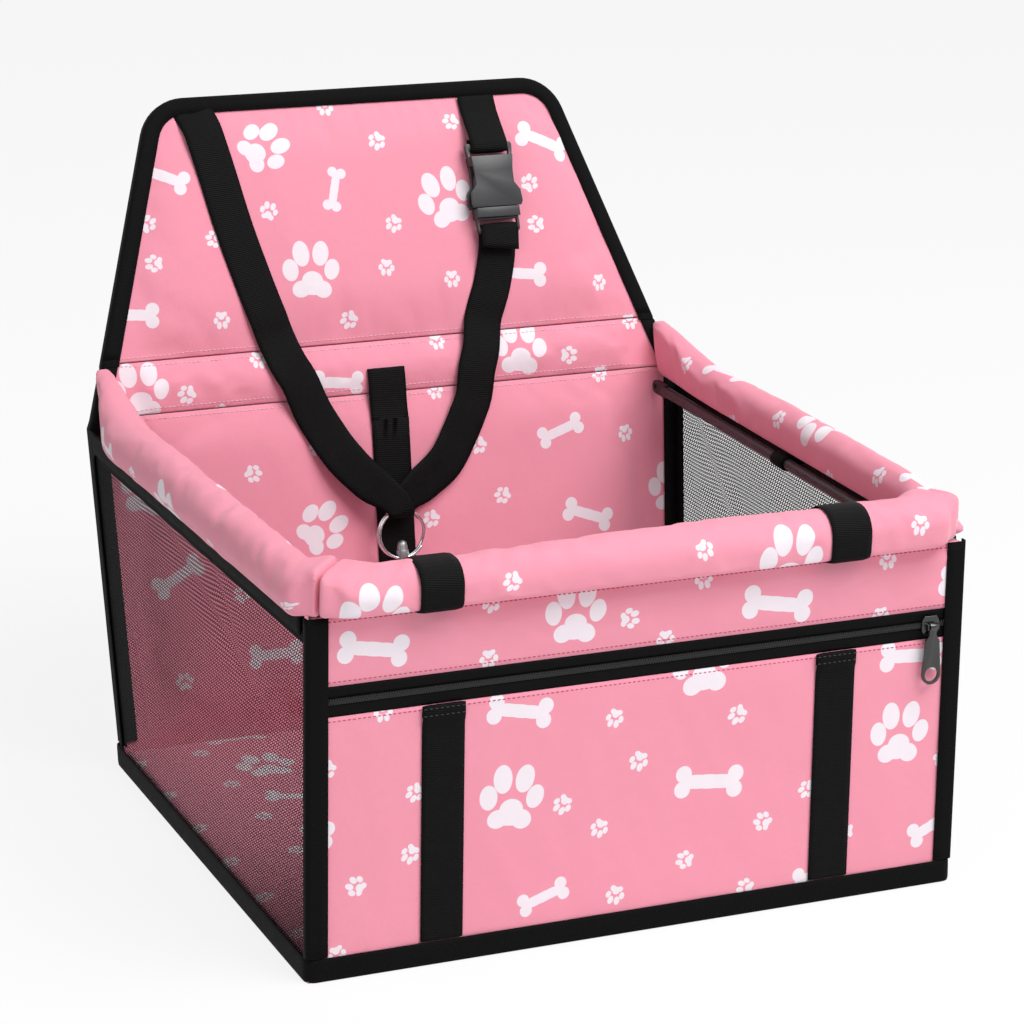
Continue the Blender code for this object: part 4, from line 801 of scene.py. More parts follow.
def tape_material(name, slot, dark, light, roughness, pitch, depth):
    surface, tree, shader = new_material(name, slot, roughness, dull)
    flat = put(tree, "ShaderNodeUVMap", uv_map="flat")
    weave = use_group(tree, ribbed, {"Tape": flat, "Pitch": pitch})
    worn = arithmetic(tree, "MULTIPLY", weave["Wear"], 0.6)
    # Painted sheen: the raised ribs of the weave are painted lighter, and the wear noise adds
    # random lighter patches of real tone.
    rib_sheen_and_wear = arithmetic(tree, "MULTIPLY_ADD", weave["Height"], 0.22, worn)
    tree.links.new(two_tones(tree, rib_sheen_and_wear, dark, light), shader["Base Color"])
    tree.links.new(relief(tree, 0.7, depth, weave["Height"]), shader["Normal"])
    rough = arithmetic(tree, "MULTIPLY_ADD", weave["Wear"], 0.2, roughness - 0.1)
    tree.links.new(rough, shader["Roughness"])
    return surface


binding_tape = tape_material(
    "binding_tape", "black_tape", tape_black, tape_light, 0.72, 0.0011, 0.00014
)


def mitre(first, second):
    return (first + second) / (1 + first.dot(second))


def in_steps(frames, closed=False):
    """Frames at close steps between the given ones, so that a long tape can be uneven."""
    made = []
    spans = list(zip(frames, frames[1:] + frames[:1]))
    for here, there in spans if closed else spans[:-1]:
        count = max(1, round((there[0] - here[0]).length / tape_step))
        for share in spread(0, 1, count)[:-1]:
            made.append(tuple(here[k].lerp(there[k], share) for k in range(3)))
    return made if closed else made + [frames[-1]]


def running(points):
    """How far along a line each of its points lies."""
    run = [0.0]
    for here, there in zip(points, points[1:]):
        run.append(run[-1] + (Vector(there) - Vector(here)).length)
    return run


def skin(size, count, flat, end_flat, closed=False):
    """Faces and UV over a row of rings of points; flat(ring, corner) and end_flat are places."""
    faces, uv = [], []
    for ring in range(count if closed else count - 1):
        here, there = ring * size, (ring + 1) % count * size
        for corner in range(size):
            after = (corner + 1) % size
            faces.append([here + corner, here + after, there + after, there + corner])
            uv += [flat(ring, corner), flat(ring, corner + 1)]
            uv += [flat(ring + 1, corner + 1), flat(ring + 1, corner)]
    if not closed:
        for start, order in ((0, -1), ((count - 1) * size, 1)):
            faces.append([start + corner for corner in range(size)][::order])
            uv += end_flat[::order]
    return faces, uv


def tape_strip(name, frames, middle, thickness, surface, closed=False, uneven=0.0):
    """Tape whose middle line of (across, up) runs along frames of (point, side, lift)."""
    half, run = thickness / 2, running(middle)
    faces_of_tape = ([], [])
    for place, (across, up) in enumerate(middle):
        before, after = middle[max(place - 1, 0)], middle[min(place + 1, len(middle) - 1)]
        way = Vector((after[0] - before[0], after[1] - before[1])).normalized() * half
        faces_of_tape[0].append((across - way.y, up + way.x, run[place]))
        faces_of_tape[1].append((across + way.y, up - way.x, run[place]))
    ends = []
    for end, inner in ((0, 1), (-1, -2)):
        way = (Vector(middle[end]) - Vector(middle[inner])).normalized() * half * 0.6
        ends.append((middle[end][0] + way.x, middle[end][1] + way.y, run[end]))
    section = [*faces_of_tape[0], ends[1], *faces_of_tape[1][::-1], ends[0]]
    points = []
    for point, side, lift in frames:
        wave = uneven * noise.noise(point * 60)
        points += [point + side * across + lift * (up + wave) for across, up, _ in section]
    size, middles = len(section), [frame[0] for frame in frames]
    lengths = running(middles + middles[:1] if closed else middles)
    faces, uv = skin(
        size, len(frames), lambda ring, corner: (lengths[ring], section[corner % size][2]),
        [place[:2] for place in section], closed,
    )
    return new_mesh(name, points, faces, surface, uv)


def base_edge():
    corners = [
        (-1, front_foot, tan(front_lean)), (1, front_foot, tan(front_lean)),
        (1, back_outer_foot, tan(back_lean)), (-1, back_outer_foot, tan(back_lean)),
    ]
    points = [side_point(side, y, 0, 0) for side, y, lean in corners]
    frames = []
    for place, (side, y, lean) in enumerate(corners):
        before = (points[place] - points[place - 1]).normalized()
        after = (points[(place + 1) % 4] - points[place]).normalized()
        lift = along_side(side, y, 0, Vector((0, lean, 1)), bottom_height)
        first, last = before.cross(Z), after.cross(Z)
        middle = points[place] - mitre(first, last) * bottom_turn
        for share in spread(0, 1, 5):
            outward = first.slerp(last, share)
            frames.append((middle + outward * bottom_turn, outward, lift))
    return frames


bottom_tape = tape_strip(
    "bottom_tape", in_steps(base_edge(), True), bottom_line, 0.0012, binding_tape, True
)
finish_piece(bottom_tape, "basket", "bottom_binding")
for name, side in (("left", -1), ("right", 1)):
    line = [(-0.0108, -corner_out), (-0.0060, -corner_out - 0.0002)]
    for a in spread(0, pi / 2, 4):
        line.append((
            corner_out - corner_bend + corner_bend * sin(a),
            -corner_out + corner_bend - corner_bend * cos(a),
        ))
    line += [(corner_out, corner_bend), (corner_out, 0.0034)]
    frames = [
        (Vector((side * seat_half, front_wall.y_at(z), z)), X * side, Y)
        for z in (bottom_height + gap, rail_level - gap)
    ]
    corner_tape = tape_strip(
        name + "_corner_tape", in_steps(frames), line, tape_thickness, binding_tape
    )
    finish_piece(corner_tape, "basket", name + "_front_binding")


def folded_tape(leg, low, wall, inner_leg=None):
    """The middle line of tape folded round an edge that lies between low and zero."""
    inner_leg = inner_leg or leg
    off = gap + wall / 2
    top, bottom, web = off, low - off, -off
    bend = (top - bottom) * 0.28
    line = [(leg, top), (leg * 0.5, top + 0.0001), (web + bend, top)]
    for a in spread(pi / 8, pi / 2, 3):
        line.append((web + bend - bend * sin(a), top - bend + bend * cos(a)))
    for a in spread(0, 3 * pi / 8, 3):
        line.append((web + bend - bend * cos(a), bottom + bend - bend * sin(a)))
    line += [(web + bend, bottom), (inner_leg * 0.5, bottom - 0.0001), (inner_leg, bottom)]
    return line


rail_row = lower_back.up_at(rail_level)
for name, side in (("left", -1), ("right", 1)):
    bend = mitre(lower_back.out, fold_band.out)
    low = lower_back.up_at(bottom_height + gap) + (back_edge - cover_back) * tan(back_lean)
    frames = []
    for wall, up, out in (
        (lower_back, low, lower_back.out), (lower_back, rail_row, lower_back.out),
        (lower_back, lower_length, bend), (fold_band, band_length - fold_relief, fold_band.out),
    ):
        foot = wall.at(0, up, 0)
        frames.append((foot + X * side * (half_width(foot.z) - back_edge), X * -side, out))
    tape = tape_strip(
        name + "_back_tape", in_steps(frames), folded_tape(binding_leg, cover_back, folded_wall),
        tape_thickness, binding_tape, uneven=tape_uneven,
    )
    finish_piece(tape, "basket", name + "_back_binding")

# The mesh sides
# Black warp-knit mesh with small open cells, stretched between the tapes of each side and a little
# slack, so that it shows soft slanting folds.
cell_wide, cell_high, strand = 0.0026, 0.0022, 0.00112
mesh_top = rail_level - 2 * gap - 0.0006
mesh_low, mesh_front, mesh_back, mesh_inset = 0.0018, 0.0006, 0.0008, 0.0004
mesh_edge_reach = 0.04
mesh_folds = {
    "left": (
        (0.1157, 0.2031, -0.0728, 0.1392), (-0.0037, 0.1952, -0.0480, 0.1540),
        (0.1362, 0.0981, 0.1087, 0.0459),
    ),
    "right": ((0.1700, 0.1850, 0.1050, 0.1300),),
}
fold_half, fold_depth, gather, gather_reach = 0.0052, 0.0024, 0.84, 2.4
mesh_tape_leg, mesh_tape_inner, mesh_tape_back, upright_share = 0.0110, 0.0158, -0.0008, 0.45
thin_tape = 0.0006

net_black, tree, shader = new_material("net_black", "black_mesh", 0.7, dull)
lint = object_noise(tree, 60.0, 3.0)
tone = two_tones(tree, lint, (0.002, 0.002, 0.002, 1), (0.006, 0.0055, 0.006, 1))
tree.links.new(tone, shader["Base Color"])


def cell_tree():
    """Lays one small mesh, the cell, on every point."""
    shape = [("Geometry", "Geometry")]
    tree, given, made = new_group(
        "laid_cells", shape + [("Cell", "Object")], shape, "GeometryNodeTree"
    )
    cell = put(tree, "GeometryNodeObjectInfo", {"Object": given["Cell"]}, 4)
    cells = {"Points": given["Geometry"], "Instance": cell}
    laid_cells = put(tree, "GeometryNodeInstanceOnPoints", cells)
    tree.links.new(put(tree, "GeometryNodeRealizeInstances", {0: laid_cells}), made["Geometry"])
    return tree


def knitted_cell():
    """Two strands that lean apart and together again, drawn in the flat: along, up."""
    wide, high, s = cell_wide / 2, cell_high, strand / 2
    points, faces = [], []
    for lean in (-1, 1):
        route = [(0, -high / 2), (lean * (wide - s), 0), (0, high / 2)]
        for along, up in route:
            points += [(along - s, up, 0), (along + s, up, 0)]
        start = len(points) - 6
        faces += [(k, k + 1, k + 3, k + 2) for k in (start, start + 2)]
    mesh = bpy.data.meshes.new("knitted_cell")
    mesh.from_pydata(points, [], faces)
    return link_object("knitted_cell", mesh)


def gathered(name, y, z):
    """Where the net really hangs: it is drawn together square to each fold and stands in there."""
    moved_y, moved_z, depth = y, z, 0.0
    for y0, z0, y1, z1 in mesh_folds[name]:
        line = Vector((y1 - y0, z1 - z0))
        length = line.length
        line /= length
        share = ((y - y0) * line.x + (z - z0) * line.y) / length
        fade = max(0.0, min(1.0, (share + 0.05) / 0.15, (1.1 - share) / 0.4))
        far = ((y - y0) * -line.y + (z - z0) * line.x) / fold_half
        shift = -gather * fold_half * np.tanh(far) * np.exp(-((far / gather_reach) ** 2)) * fade
        moved_y -= shift * line.y
        moved_z += shift * line.x
        depth += fold_depth * np.exp(-far * far) * fade
    return moved_y, min(mesh_top, max(mesh_low, moved_z)), depth


def mesh_back_y(z):
    return lower_back.y_at(z) - mesh_back / cos(back_lean)


cell_object = knitted_cell()
cell_nodes = cell_tree()
for name, side in (("left", -1), ("right", 1)):
    wide, tall = 0.345, mesh_top - mesh_low
    columns, rows = round(wide / cell_wide), round(tall / cell_high)
    grid = [
        ((column + 0.5 * (row % 2)) / columns * wide, (row + 0.5) * cell_high, 0)
        for row in range(rows) for column in range(columns)
    ]
    net = planted(name + "_grid", grid, [], cell_nodes, net_black, cell_object)
    flat = read(net.vertices, "co")
    placed = np.empty_like(flat)
    for corner, (along, up, _) in enumerate(flat):
        share = clamp(along / wide)
        z = min(mesh_top, max(mesh_low, mesh_low + float(up)))
        front_y = front_wall.y_at(z) + mesh_front
        y = front_y + (mesh_back_y(z) - front_y) * share
        slack = sin(pi * share) * sin(pi * (z / mesh_top))
        moved_y, moved_z, depth = gathered(name, y, z)
        edge = min(1.0, share / mesh_edge_reach, (1 - share) / mesh_edge_reach)
        moved_y, moved_z = y + (moved_y - y) * edge, z + (moved_z - z) * edge
        placed[corner] = side_point(side, moved_y, moved_z, -mesh_inset - depth * slack)
    net.vertices.foreach_set("co", placed.ravel())
    piece = finish_piece(link_object(name + "_net", net), "basket", name + "_mesh")

    front_end = front_wall.y_at(mesh_top) + binding_leg + 2 * gap
    low = bottom_height + gap
    frames = []
    for y, z, inward, wide in (
        (mesh_back_y(low), low, lower_back.out, upright_share),
        (mesh_back_y(mesh_top - 0.0160), mesh_top - 0.0160, lower_back.out, upright_share),
        (mesh_back_y(mesh_top), mesh_top, mitre(lower_back.out, -Z), 0.85),
        (mesh_back_y(mesh_top) - 0.0060, mesh_top, -Z, 1.0),
        (front_end, mesh_top, -Z, 1.0),
    ):
        laid = along_side(side, y, z, inward, mesh_tape_leg)
        frames.append((side_point(side, y, z, 0), laid * wide, X * side))
    line = folded_tape(mesh_tape_leg, mesh_tape_back, thin_tape, mesh_tape_inner)
    tape = tape_strip(
        name + "_mesh_tape", in_steps(frames), line, thin_tape, binding_tape, uneven=tape_uneven
    )
    finish_piece(tape, "basket", name + "_mesh_binding")
bpy.data.objects.remove(cell_object)

# The zip between the pocket and the strip
# Black woven tapes with a nylon coil between them, closed, a die-cast slider at the right end and a
# pull that hangs from the slider's bridge.
zip_face, zip_thickness = -0.00025, 0.0007
chain_half = front_half - 0.0080
tooth_pitch, tooth_width, tooth_reach, tooth_lap = 0.00150, 0.00095, 0.00160, 0.00030
zip_middle = (chain_low + chain_high) / 2
flat_angle, edge_angle, sharp_angle = radians(1.5), radians(30), radians(40)

zip_tape_cloth = tape_material(
    "zip_tape_cloth", "black_tape", tape_black, tape_light, 0.6, 0.0008, 0.0001
)
for name, low in (("lower_zip_tape", zip_low), ("upper_zip_tape", zip_upper_low)):
    tape = wall_shell(
        name, front_wall, spread(low, low + zip_tape_height, 4), front_half,
        zip_face - zip_thickness, lambda x, up: zip_face + 0.0001 * ripple(x, up, 0.02, 41),
        zip_tape_cloth, 0.006,
    )
    finish_piece(tape, "basket", "zip_tape_lower" if low == zip_low else "zip_tape_upper")


def remap(mesh, place):
    for vertex in mesh.vertices:
        vertex.co = place(*vertex.co)


coil_colour = {"Base Color": (0.006, 0.006, 0.007, 1)}
coil_black = new_material("coil_black", "black_plastic", 0.30, coil_colour)[0]
tooth_mesh = bpy.data.meshes.new("coil_tooth")
w, r, s = tooth_width / 2, tooth_reach, tooth_lap
tooth_points = [
    (x, up, out) for out, x_share in ((0.0, 1.0), (0.00035, 1.0), (0.00060, 0.55))
    for x, up in ((-w * x_share, -s), (w * x_share, -s), (w * x_share, r), (-w * x_share, r))
]
tooth_faces = [(8, 9, 10, 11)]
for ring in (0, 4):
    for k in range(4):
        after = (k + 1) % 4
        tooth_faces.append((ring + k, ring + after, ring + 4 + after, ring + 4 + k))
tooth_mesh.from_pydata(tooth_points, [], tooth_faces)
upper_tooth = link_object("coil_tooth", tooth_mesh)
count = int(2 * chain_half / tooth_pitch)
tooth_places = [(-chain_half + tooth_pitch * k, 0, 0) for k in range(count)]
upper_row = planted("upper_coil", tooth_places, [], cell_nodes, coil_black, upper_tooth)
bpy.data.objects.remove(upper_tooth)
lower_row = upper_row.copy()
remap(lower_row, lambda x, up, out: Vector((x + tooth_pitch / 2, -up, out)))
lower_row.flip_normals()
core = wall_shell(
    "zip_coil", front_wall, spread(chain_low, chain_high, 2), chain_half, panel_back, 0.0,
    coil_black, 0.02,
)
work = bmesh.new()
work.from_mesh(core.data)
for row_mesh in (upper_row, lower_row):
    remap(row_mesh, lambda x, up, out: front_wall.at(x, zip_middle + up, out))
    work.from_mesh(row_mesh)
work.to_mesh(core.data)
work.free()
core.data.shade_flat()
finish_piece(core, "basket", "zip_chain")


def fine_copy(name, node, surface, body, edge):
    """A copy of a CAD node, merged, with its edges softened."""
    mesh = frame["nodes"][node].data.copy()
    mesh.transform(frame["nodes"][node].matrix_world)
    work = bmesh.new()
    work.from_mesh(mesh)
    bmesh.ops.remove_doubles(work, verts=work.verts, dist=1e-6)
    bmesh.ops.dissolve_limit(work, angle_limit=flat_angle, verts=work.verts, edges=work.edges)
    work.to_mesh(mesh)
    work.free()
    dress(mesh, surface)
    piece = link_object(name, mesh)
    soften = piece.modifiers.new("soften", "BEVEL")
    soften.width = edge
    soften.segments = 2
    soften.limit_method = "ANGLE"
    soften.angle_limit = edge_angle
    soften.use_clamp_overlap = True
    made = plain_mesh(piece)
    piece.modifiers.remove(soften)
    piece.data = made
    made.shade_smooth()
    made.set_sharp_from_angle(angle=sharp_angle)
    return finish_piece(piece, body, node)


enamel, tree, shader = new_material(
    "black_enamel_paint", "black_enamel", 0.20,
    {"Base Color": (0.008, 0.008, 0.009, 1), "Coat Weight": 0.6},
)
dust = object_noise(tree, 900.0, 3.0)
tree.links.new(relief(tree, 0.15, 0.0002, dust), shader["Normal"])
fine_copy("zip_slider_body", "zip_slider", enamel, "zip_slider", 0.0003)
fine_copy("zip_pull_tab", "zip_pull", enamel, "zip_pull", 0.0004)

# The webbing: two straps down the front and two loops over the front rail
# Ribbed black polypropylene webbing. The top end of each strap is turned under once and sewn, and
# the ends of the loops are caught in the seam under the rail.
strap_low, strap_high = bottom_height + gap, zip_low - gap
strap_hem, hem_half, hem_rows = 0.0070, 0.0112, (0.0016, 0.0056)
rail_foot = rail_level + gap
rail_thick, top_radius, foot_radius = 0.0290, 0.0135, 0.0045
front_overhang, side_overhang = 0.0125, 0.0050
front_rail_y = front_wall.y_at(rail_level) - front_overhang
rail_half = seat_half + side_overhang
loop_xs = (-0.1289, 0.1191)
webbing_black, webbing_light = (0.0016, 0.0015, 0.0017, 1), (0.0090, 0.0086, 0.0088, 1)
webbing_step, sewn_layer, flat_share = 0.004, 0.00105, 0.94

black_webbing = tape_material(
    "ribbed_webbing", "black_webbing", webbing_black, webbing_light, 0.60, 0.0012, 0.00022
)


def smooth_route(stops, pitch):
    """Stops of (point, face, width) at close steps on a smooth curve through the given ones."""
    made = []
    for place in range(len(stops) - 1):
        before, here = stops[max(place - 1, 0)], stops[place]
        there, after = stops[place + 1], stops[min(place + 2, len(stops) - 1)]
        p0, p1, p2, p3 = before[0], here[0], there[0], after[0]
        count = max(1, round((p2 - p1).length / pitch))
        for t in spread(0, 1, count)[:-1]:
            bends = (2 * p0 - 5 * p1 + 4 * p2 - p3) * t**2 + (3 * p1 - p0 - 3 * p2 + p3) * t**3
            point = 0.5 * (2 * p1 + (p2 - p0) * t + bends)
            face = here[1].lerp(there[1], smooth(t)).normalized()
            made.append((point, face, here[2] + (there[2] - here[2]) * smooth(t)))
    return made + [stops[-1]]


def webbing(name, stops, thickness=webbing_thickness, level_start=False, pitch=webbing_step):
    """Flat webbing with rounded edges along a route of stops."""
    route = smooth_route(stops, pitch)
    shares = spread(-1, 1, 8)
    points = []
    for place, (point, face, width) in enumerate(route):
        before, after = route[max(place - 1, 0)][0], route[min(place + 1, len(route) - 1)][0]
        along = (after - before).normalized()
        across = along.cross(face).normalized()
        square = across.cross(along).normalized()
        if level_start and place == 0:
            across = X / X.dot(across)
        for sign in (1, -1):
            for share in shares[::sign]:
                edge = max(0.0, abs(share) - flat_share) / (1 - flat_share)
                lift = thickness / 2 * sqrt(max(0.02, 1 - edge * edge)) * sign
                points.append(point + across * share * width / 2 + square * lift)
    lengths = running([stop[0] for stop in route])
    across_uv = [share * webbing_width / 2 for share in shares + shares[::-1]]
    size = len(across_uv)
    faces, uv = skin(
        size, len(route), lambda ring, corner: (lengths[ring], across_uv[corner % size]),
        [(0.0, across) for across in across_uv],
    )
    return new_mesh(name, points, faces, black_webbing, uv)


for name, x, node in (
    ("left_front_strap", front_strap_xs[0], "front_strap_left"),
    ("right_front_strap", front_strap_xs[1], "front_strap_right"),
):
    low_out, top_out = gap + sewn_layer / 2, gap + sewn_layer * 1.5
    fold = strap_high - sewn_layer / 2
    route = [
        (strap_low, low_out, 0), ((strap_low + strap_high) / 2, low_out, 0),
        (strap_high - strap_hem - 0.004, low_out, 0), (strap_high - strap_hem - 0.0005, top_out, 0),
        (strap_high - 0.0030, top_out, 0), (fold, top_out - 0.0001, 20),
        (strap_high, (low_out + top_out) / 2, 90), (fold, low_out + 0.0001, 160),
        (strap_high - 0.0030, low_out, 180), (strap_high - strap_hem + 0.0004, low_out, 180),
    ]
    stops = []
    for up, out, angle in route:
        face = front_wall.out * cos(radians(angle)) + front_wall.up * sin(radians(angle))
        stops.append((front_wall.at(x, up, out), face, webbing_width))
    finish_piece(webbing(name, stops, sewn_layer, pitch=0.003), "basket", node)
    rows = [
        on_wall(front_wall, x - hem_half, x + hem_half, strap_high - below, gap + 2 * sewn_layer)
        for below in hem_rows
    ]
    stitch(name + "_stitches", rows, black_thread, "basket")


def arc(across, up, radius, start, end, count):
    """Points (across, up, degrees) round a centre."""
    return [
        (across + radius * cos(radians(angle)), up + radius * sin(radians(angle)), angle)
        for angle in spread(start, end, count)
    ]


def front_rail_height(x):
    """The front rail is flatter at its left end."""
    low, extra, start, reach = 0.0240, 0.0034, -0.137, 0.330
    return low + extra * smooth((x - start) / reach)


def rail_path(off, high):
    """Points (across, up) and face angles round the rail, from the seam in front backwards."""
    r = min(top_radius, high / 2)
    shoulder = high - r
    path = [(front_overhang - gap, -off, 270)]
    path += arc(foot_radius, foot_radius, foot_radius + off, 270, 180, 4)
    path += arc(r, shoulder, r + off, 180, 90, 6) + arc(rail_thick - r, shoulder, r + off, 90, 0, 6)
    return path + [(rail_thick + off, 0.0056, 0)]


for name, x, node in (
    ("left_rail_loop", loop_xs[0], "rail_loop_left"),
    ("right_rail_loop", loop_xs[1], "rail_loop_right"),
):
    stops = []
    for across, up, angle in rail_path(gap + webbing_thickness / 2, front_rail_height(x)):
        face = Y * cos(radians(angle)) + Z * sin(radians(angle))
        place = Vector((x, front_rail_y + across, rail_foot + up))
        stops.append((place, face, webbing_width))
    finish_piece(webbing(name, stops), "basket", node)

# The padded rails
# Three foam-filled sleeves of printed cloth, mitred at the front corners and sewn down along their
# undersides. The cloth is let go under a little pressure so that it wrinkles where it is held.
rail_cloth_step = 0.0042
cloth_frames, most_sunk = 18, 0.0005
cloth_settings = {
    "quality": 5, "mass": 0.2, "tension_stiffness": 12, "compression_stiffness": 12,
    "shear_stiffness": 6, "bending_stiffness": 0.08, "use_pressure": True,
    "uniform_pressure_force": 3.0,
}
rail_figures = (
    ("paw", -166.7, 13.7, -13, 40.0), ("paw", 81.4, 17.1, -6, 40.0),
    ("bone", -46.6, 66.0, 12, 38.0), ("paw", -88.0, 25.2, 121, 11.3),
    ("paw", 27.3, 28.4, -150, 11.3), ("paw", 162.6, 27.1, 170, 11.3), ("paw", 5.7, 64.0, 106, 11.0),
    ("paw", -120.0, 66.0, 20, 36.0), ("bone", 120.0, 70.0, -15, 38.0),
    ("paw", 60.0, 82.0, 30, 36.0), ("paw", -175.0, 70.0, 140, 11.3), ("paw", 175.0, 64.0, 60, 11.3),
    ("bone", 0.0, 100.0, 5, 38.0), ("paw", -70.0, 92.0, 70, 11.3), ("bone", 5.0, 4.0, 0, 36.0),
)
side_rail_figures = (
    ("paw", 37.9, 27.3, -47, 38.0), ("paw", -35.5, 30.4, -142, 11.3),
    ("paw", -146.6, 31.4, -137, 11.3), ("paw", 92.4, 35.6, -158, 11.3),
    ("bone", 140.1, 37.1, 179, 32.0), ("bone", -80.0, 72.0, 12, 38.0), ("paw", 0.0, 76.0, 50, 36.0),
    ("bone", 90.0, 80.0, -30, 36.0), ("paw", -40.0, 102.0, 30, 11.3),
    ("paw", -120.0, 100.0, 10, 36.0), ("paw", 50.0, 70.0, 120, 11.3),
    ("paw", 130.0, 102.0, 20, 11.3),
)
corner_insets, corner_radius, corner_reach = (0.0062, 0.0100), 0.0042, 0.030
side_faces, side_high, side_radius = ((-0.0065, 0.0225), (0.0055, 0.0240)), 0.0230, 0.0125
back_inset, back_width, back_high, back_reach = 0.0118, 0.0090, 0.0338, 0.085
hanging_foot = (
    (0.0062, 0.0), (0.0036, -0.0008), (0.0030, -0.0038), (-0.0012, -0.0016), (-0.0046, 0.0024)
)
corner_rise = 0.0016
seam_dent, puff, puff_reach = 0.0006, 0.0008, 0.030
foam_depth, sleeve_slack, sleeve_most = 0.0020, 0.02, 0.0016


def settle(piece, held, slack, most, keep_in=None):
    """Moves a pad's cloth under pressure with the held points fixed, no further than most."""
    group = piece.vertex_groups.new(name="seams")
    group.add([int(point) for point in np.nonzero(held)[0]], 1.0, "REPLACE")
    soft = piece.modifiers.new("soft", "CLOTH")
    for setting, value in cloth_settings.items():
        setattr(soft.settings, setting, value)
    soft.settings.shrink_min = -slack
    soft.settings.vertex_group_mass = "seams"
    soft.settings.effector_weights.gravity = 0
    soft.collision_settings.use_collision = False
    soft.point_cache.frame_end = cloth_frames
    for step in range(1, cloth_frames + 1):
        bpy.context.scene.frame_set(step)
    view = bpy.context.evaluated_depsgraph_get()
    before = read(piece.data.vertices, "co")
    move = read(piece.evaluated_get(view).data.vertices, "co") - before
    far = np.linalg.norm(move, axis=1, keepdims=True)
    move *= most * np.tanh(far / most) / np.maximum(far, 1e-9)
    print(piece.name, "moved", round(float(far.max()) * 1000, 2), "mm")
    outwards = read(piece.data.vertices, "normal")
    sunk = np.sum(move * outwards, axis=1, keepdims=True)
    placed = before + move - outwards * np.minimum(0.0, sunk + most_sunk)
    if keep_in:
        placed = keep_in(placed)
    piece.modifiers.remove(soft)
    piece.vertex_groups.clear()
    piece.data.vertices.foreach_set("co", placed.astype(np.float32).ravel())
    bpy.context.scene.frame_set(1)


def refine(piece):
    """One smooth subdivision, kept as a plain mesh."""
    finer = piece.modifiers.new("finer", "SUBSURF")
    finer.levels = finer.render_levels = 1
    finer.uv_smooth = "NONE"
    finer.boundary_smooth = "PRESERVE_CORNERS"
    made = plain_mesh(piece, keep_all=True)
    piece.modifiers.remove(finer)
    piece.data = made
    made.shade_smooth()


def rail_outline(outer, inner, high, radius, skirt):
    """(across, up) points round a rail, from the middle of its underside, outwards first.

    Outer, inner and high are the places of its faces; skirt is how far its foot hangs over the tape
    of the mesh.
    """
    f, r = foot_radius, min(radius, (inner - outer) / 2 - 0.0003, high - foot_radius - 0.001)
    middle = max((inner + outer) / 2, 0.0085 * skirt)
    foot = arc(outer + f, f, f, 270, 180, 4)
    outline = [(middle, 0.0), (middle - 0.002, 0.0)]
    for (across, up, _), (hung_across, hung_up) in zip(foot, hanging_foot):
        outline.append((across + (hung_across - across) * skirt, up + (hung_up - up) * skirt))
    outline.append((outer, (f + high - r) / 2))
    outline += [point[:2] for point in arc(outer + r, high - r, r, 180, 90, 6)]
    outline.append(((inner + outer) / 2, high))
    outline += [point[:2] for point in arc(inner - r, high - r, r, 90, 0, 6)]
    outline.append((inner, (f + high - r) / 2))
    outline += [point[:2] for point in arc(inner - f, f, f, 0, -90, 4)]
    return outline + [(middle + 0.002, 0.0)]


def front_section(x):
    """The front rail's outline at a place along it, squarer and drawn in at its mitred ends."""
    inset = corner_insets[x > 0]
    corner = 1 - smooth((rail_half - abs(x)) / corner_reach)
    radius = top_radius + (corner_radius - top_radius) * corner
    high = front_rail_height(x) + corner_rise * corner
    return rail_outline(inset * corner, rail_thick, high, radius, 0)


def side_section(side, near, far):
    """A side rail's outline by its distances from the mitred corner and from the back.

    Along the side it lies over the wall and hangs over its tape; at the back it narrows to an
    upright end that is sewn in beside the back tape.
    """
    corner, back = 1 - smooth(near / corner_reach), (1 - smooth(far / back_reach)) ** 1.3
    between = 1 - corner - back
    usual_outer, usual_inner = side_faces[side > 0]
    outer = corner_insets[side > 0] * corner + usual_outer * between + back_inset * back
    inner = rail_thick * corner + usual_inner * between + (back_inset + back_width) * back
    corner_high = front_rail_height(side * rail_half) + corner_rise
    high = corner_high * corner + side_high * between + back_high * back
    radius = corner_radius * corner + side_radius * between + 0.0028 * back
    return rail_outline(outer, inner, high, radius, between ** 2)


def puffed(outline, amount, wrinkle):
    """The outline let out square to itself, except for its underside."""
    made = []
    for place, (across, up) in enumerate(outline):
        before, after = outline[place - 1], outline[(place + 1) % len(outline)]
        way = Vector((after[0] - before[0], after[1] - before[1])).normalized()
        out = (amount + wrinkle(place)) * smooth(up / 0.010)
        made.append((across - way.y * out, up + way.x * out))
    return made


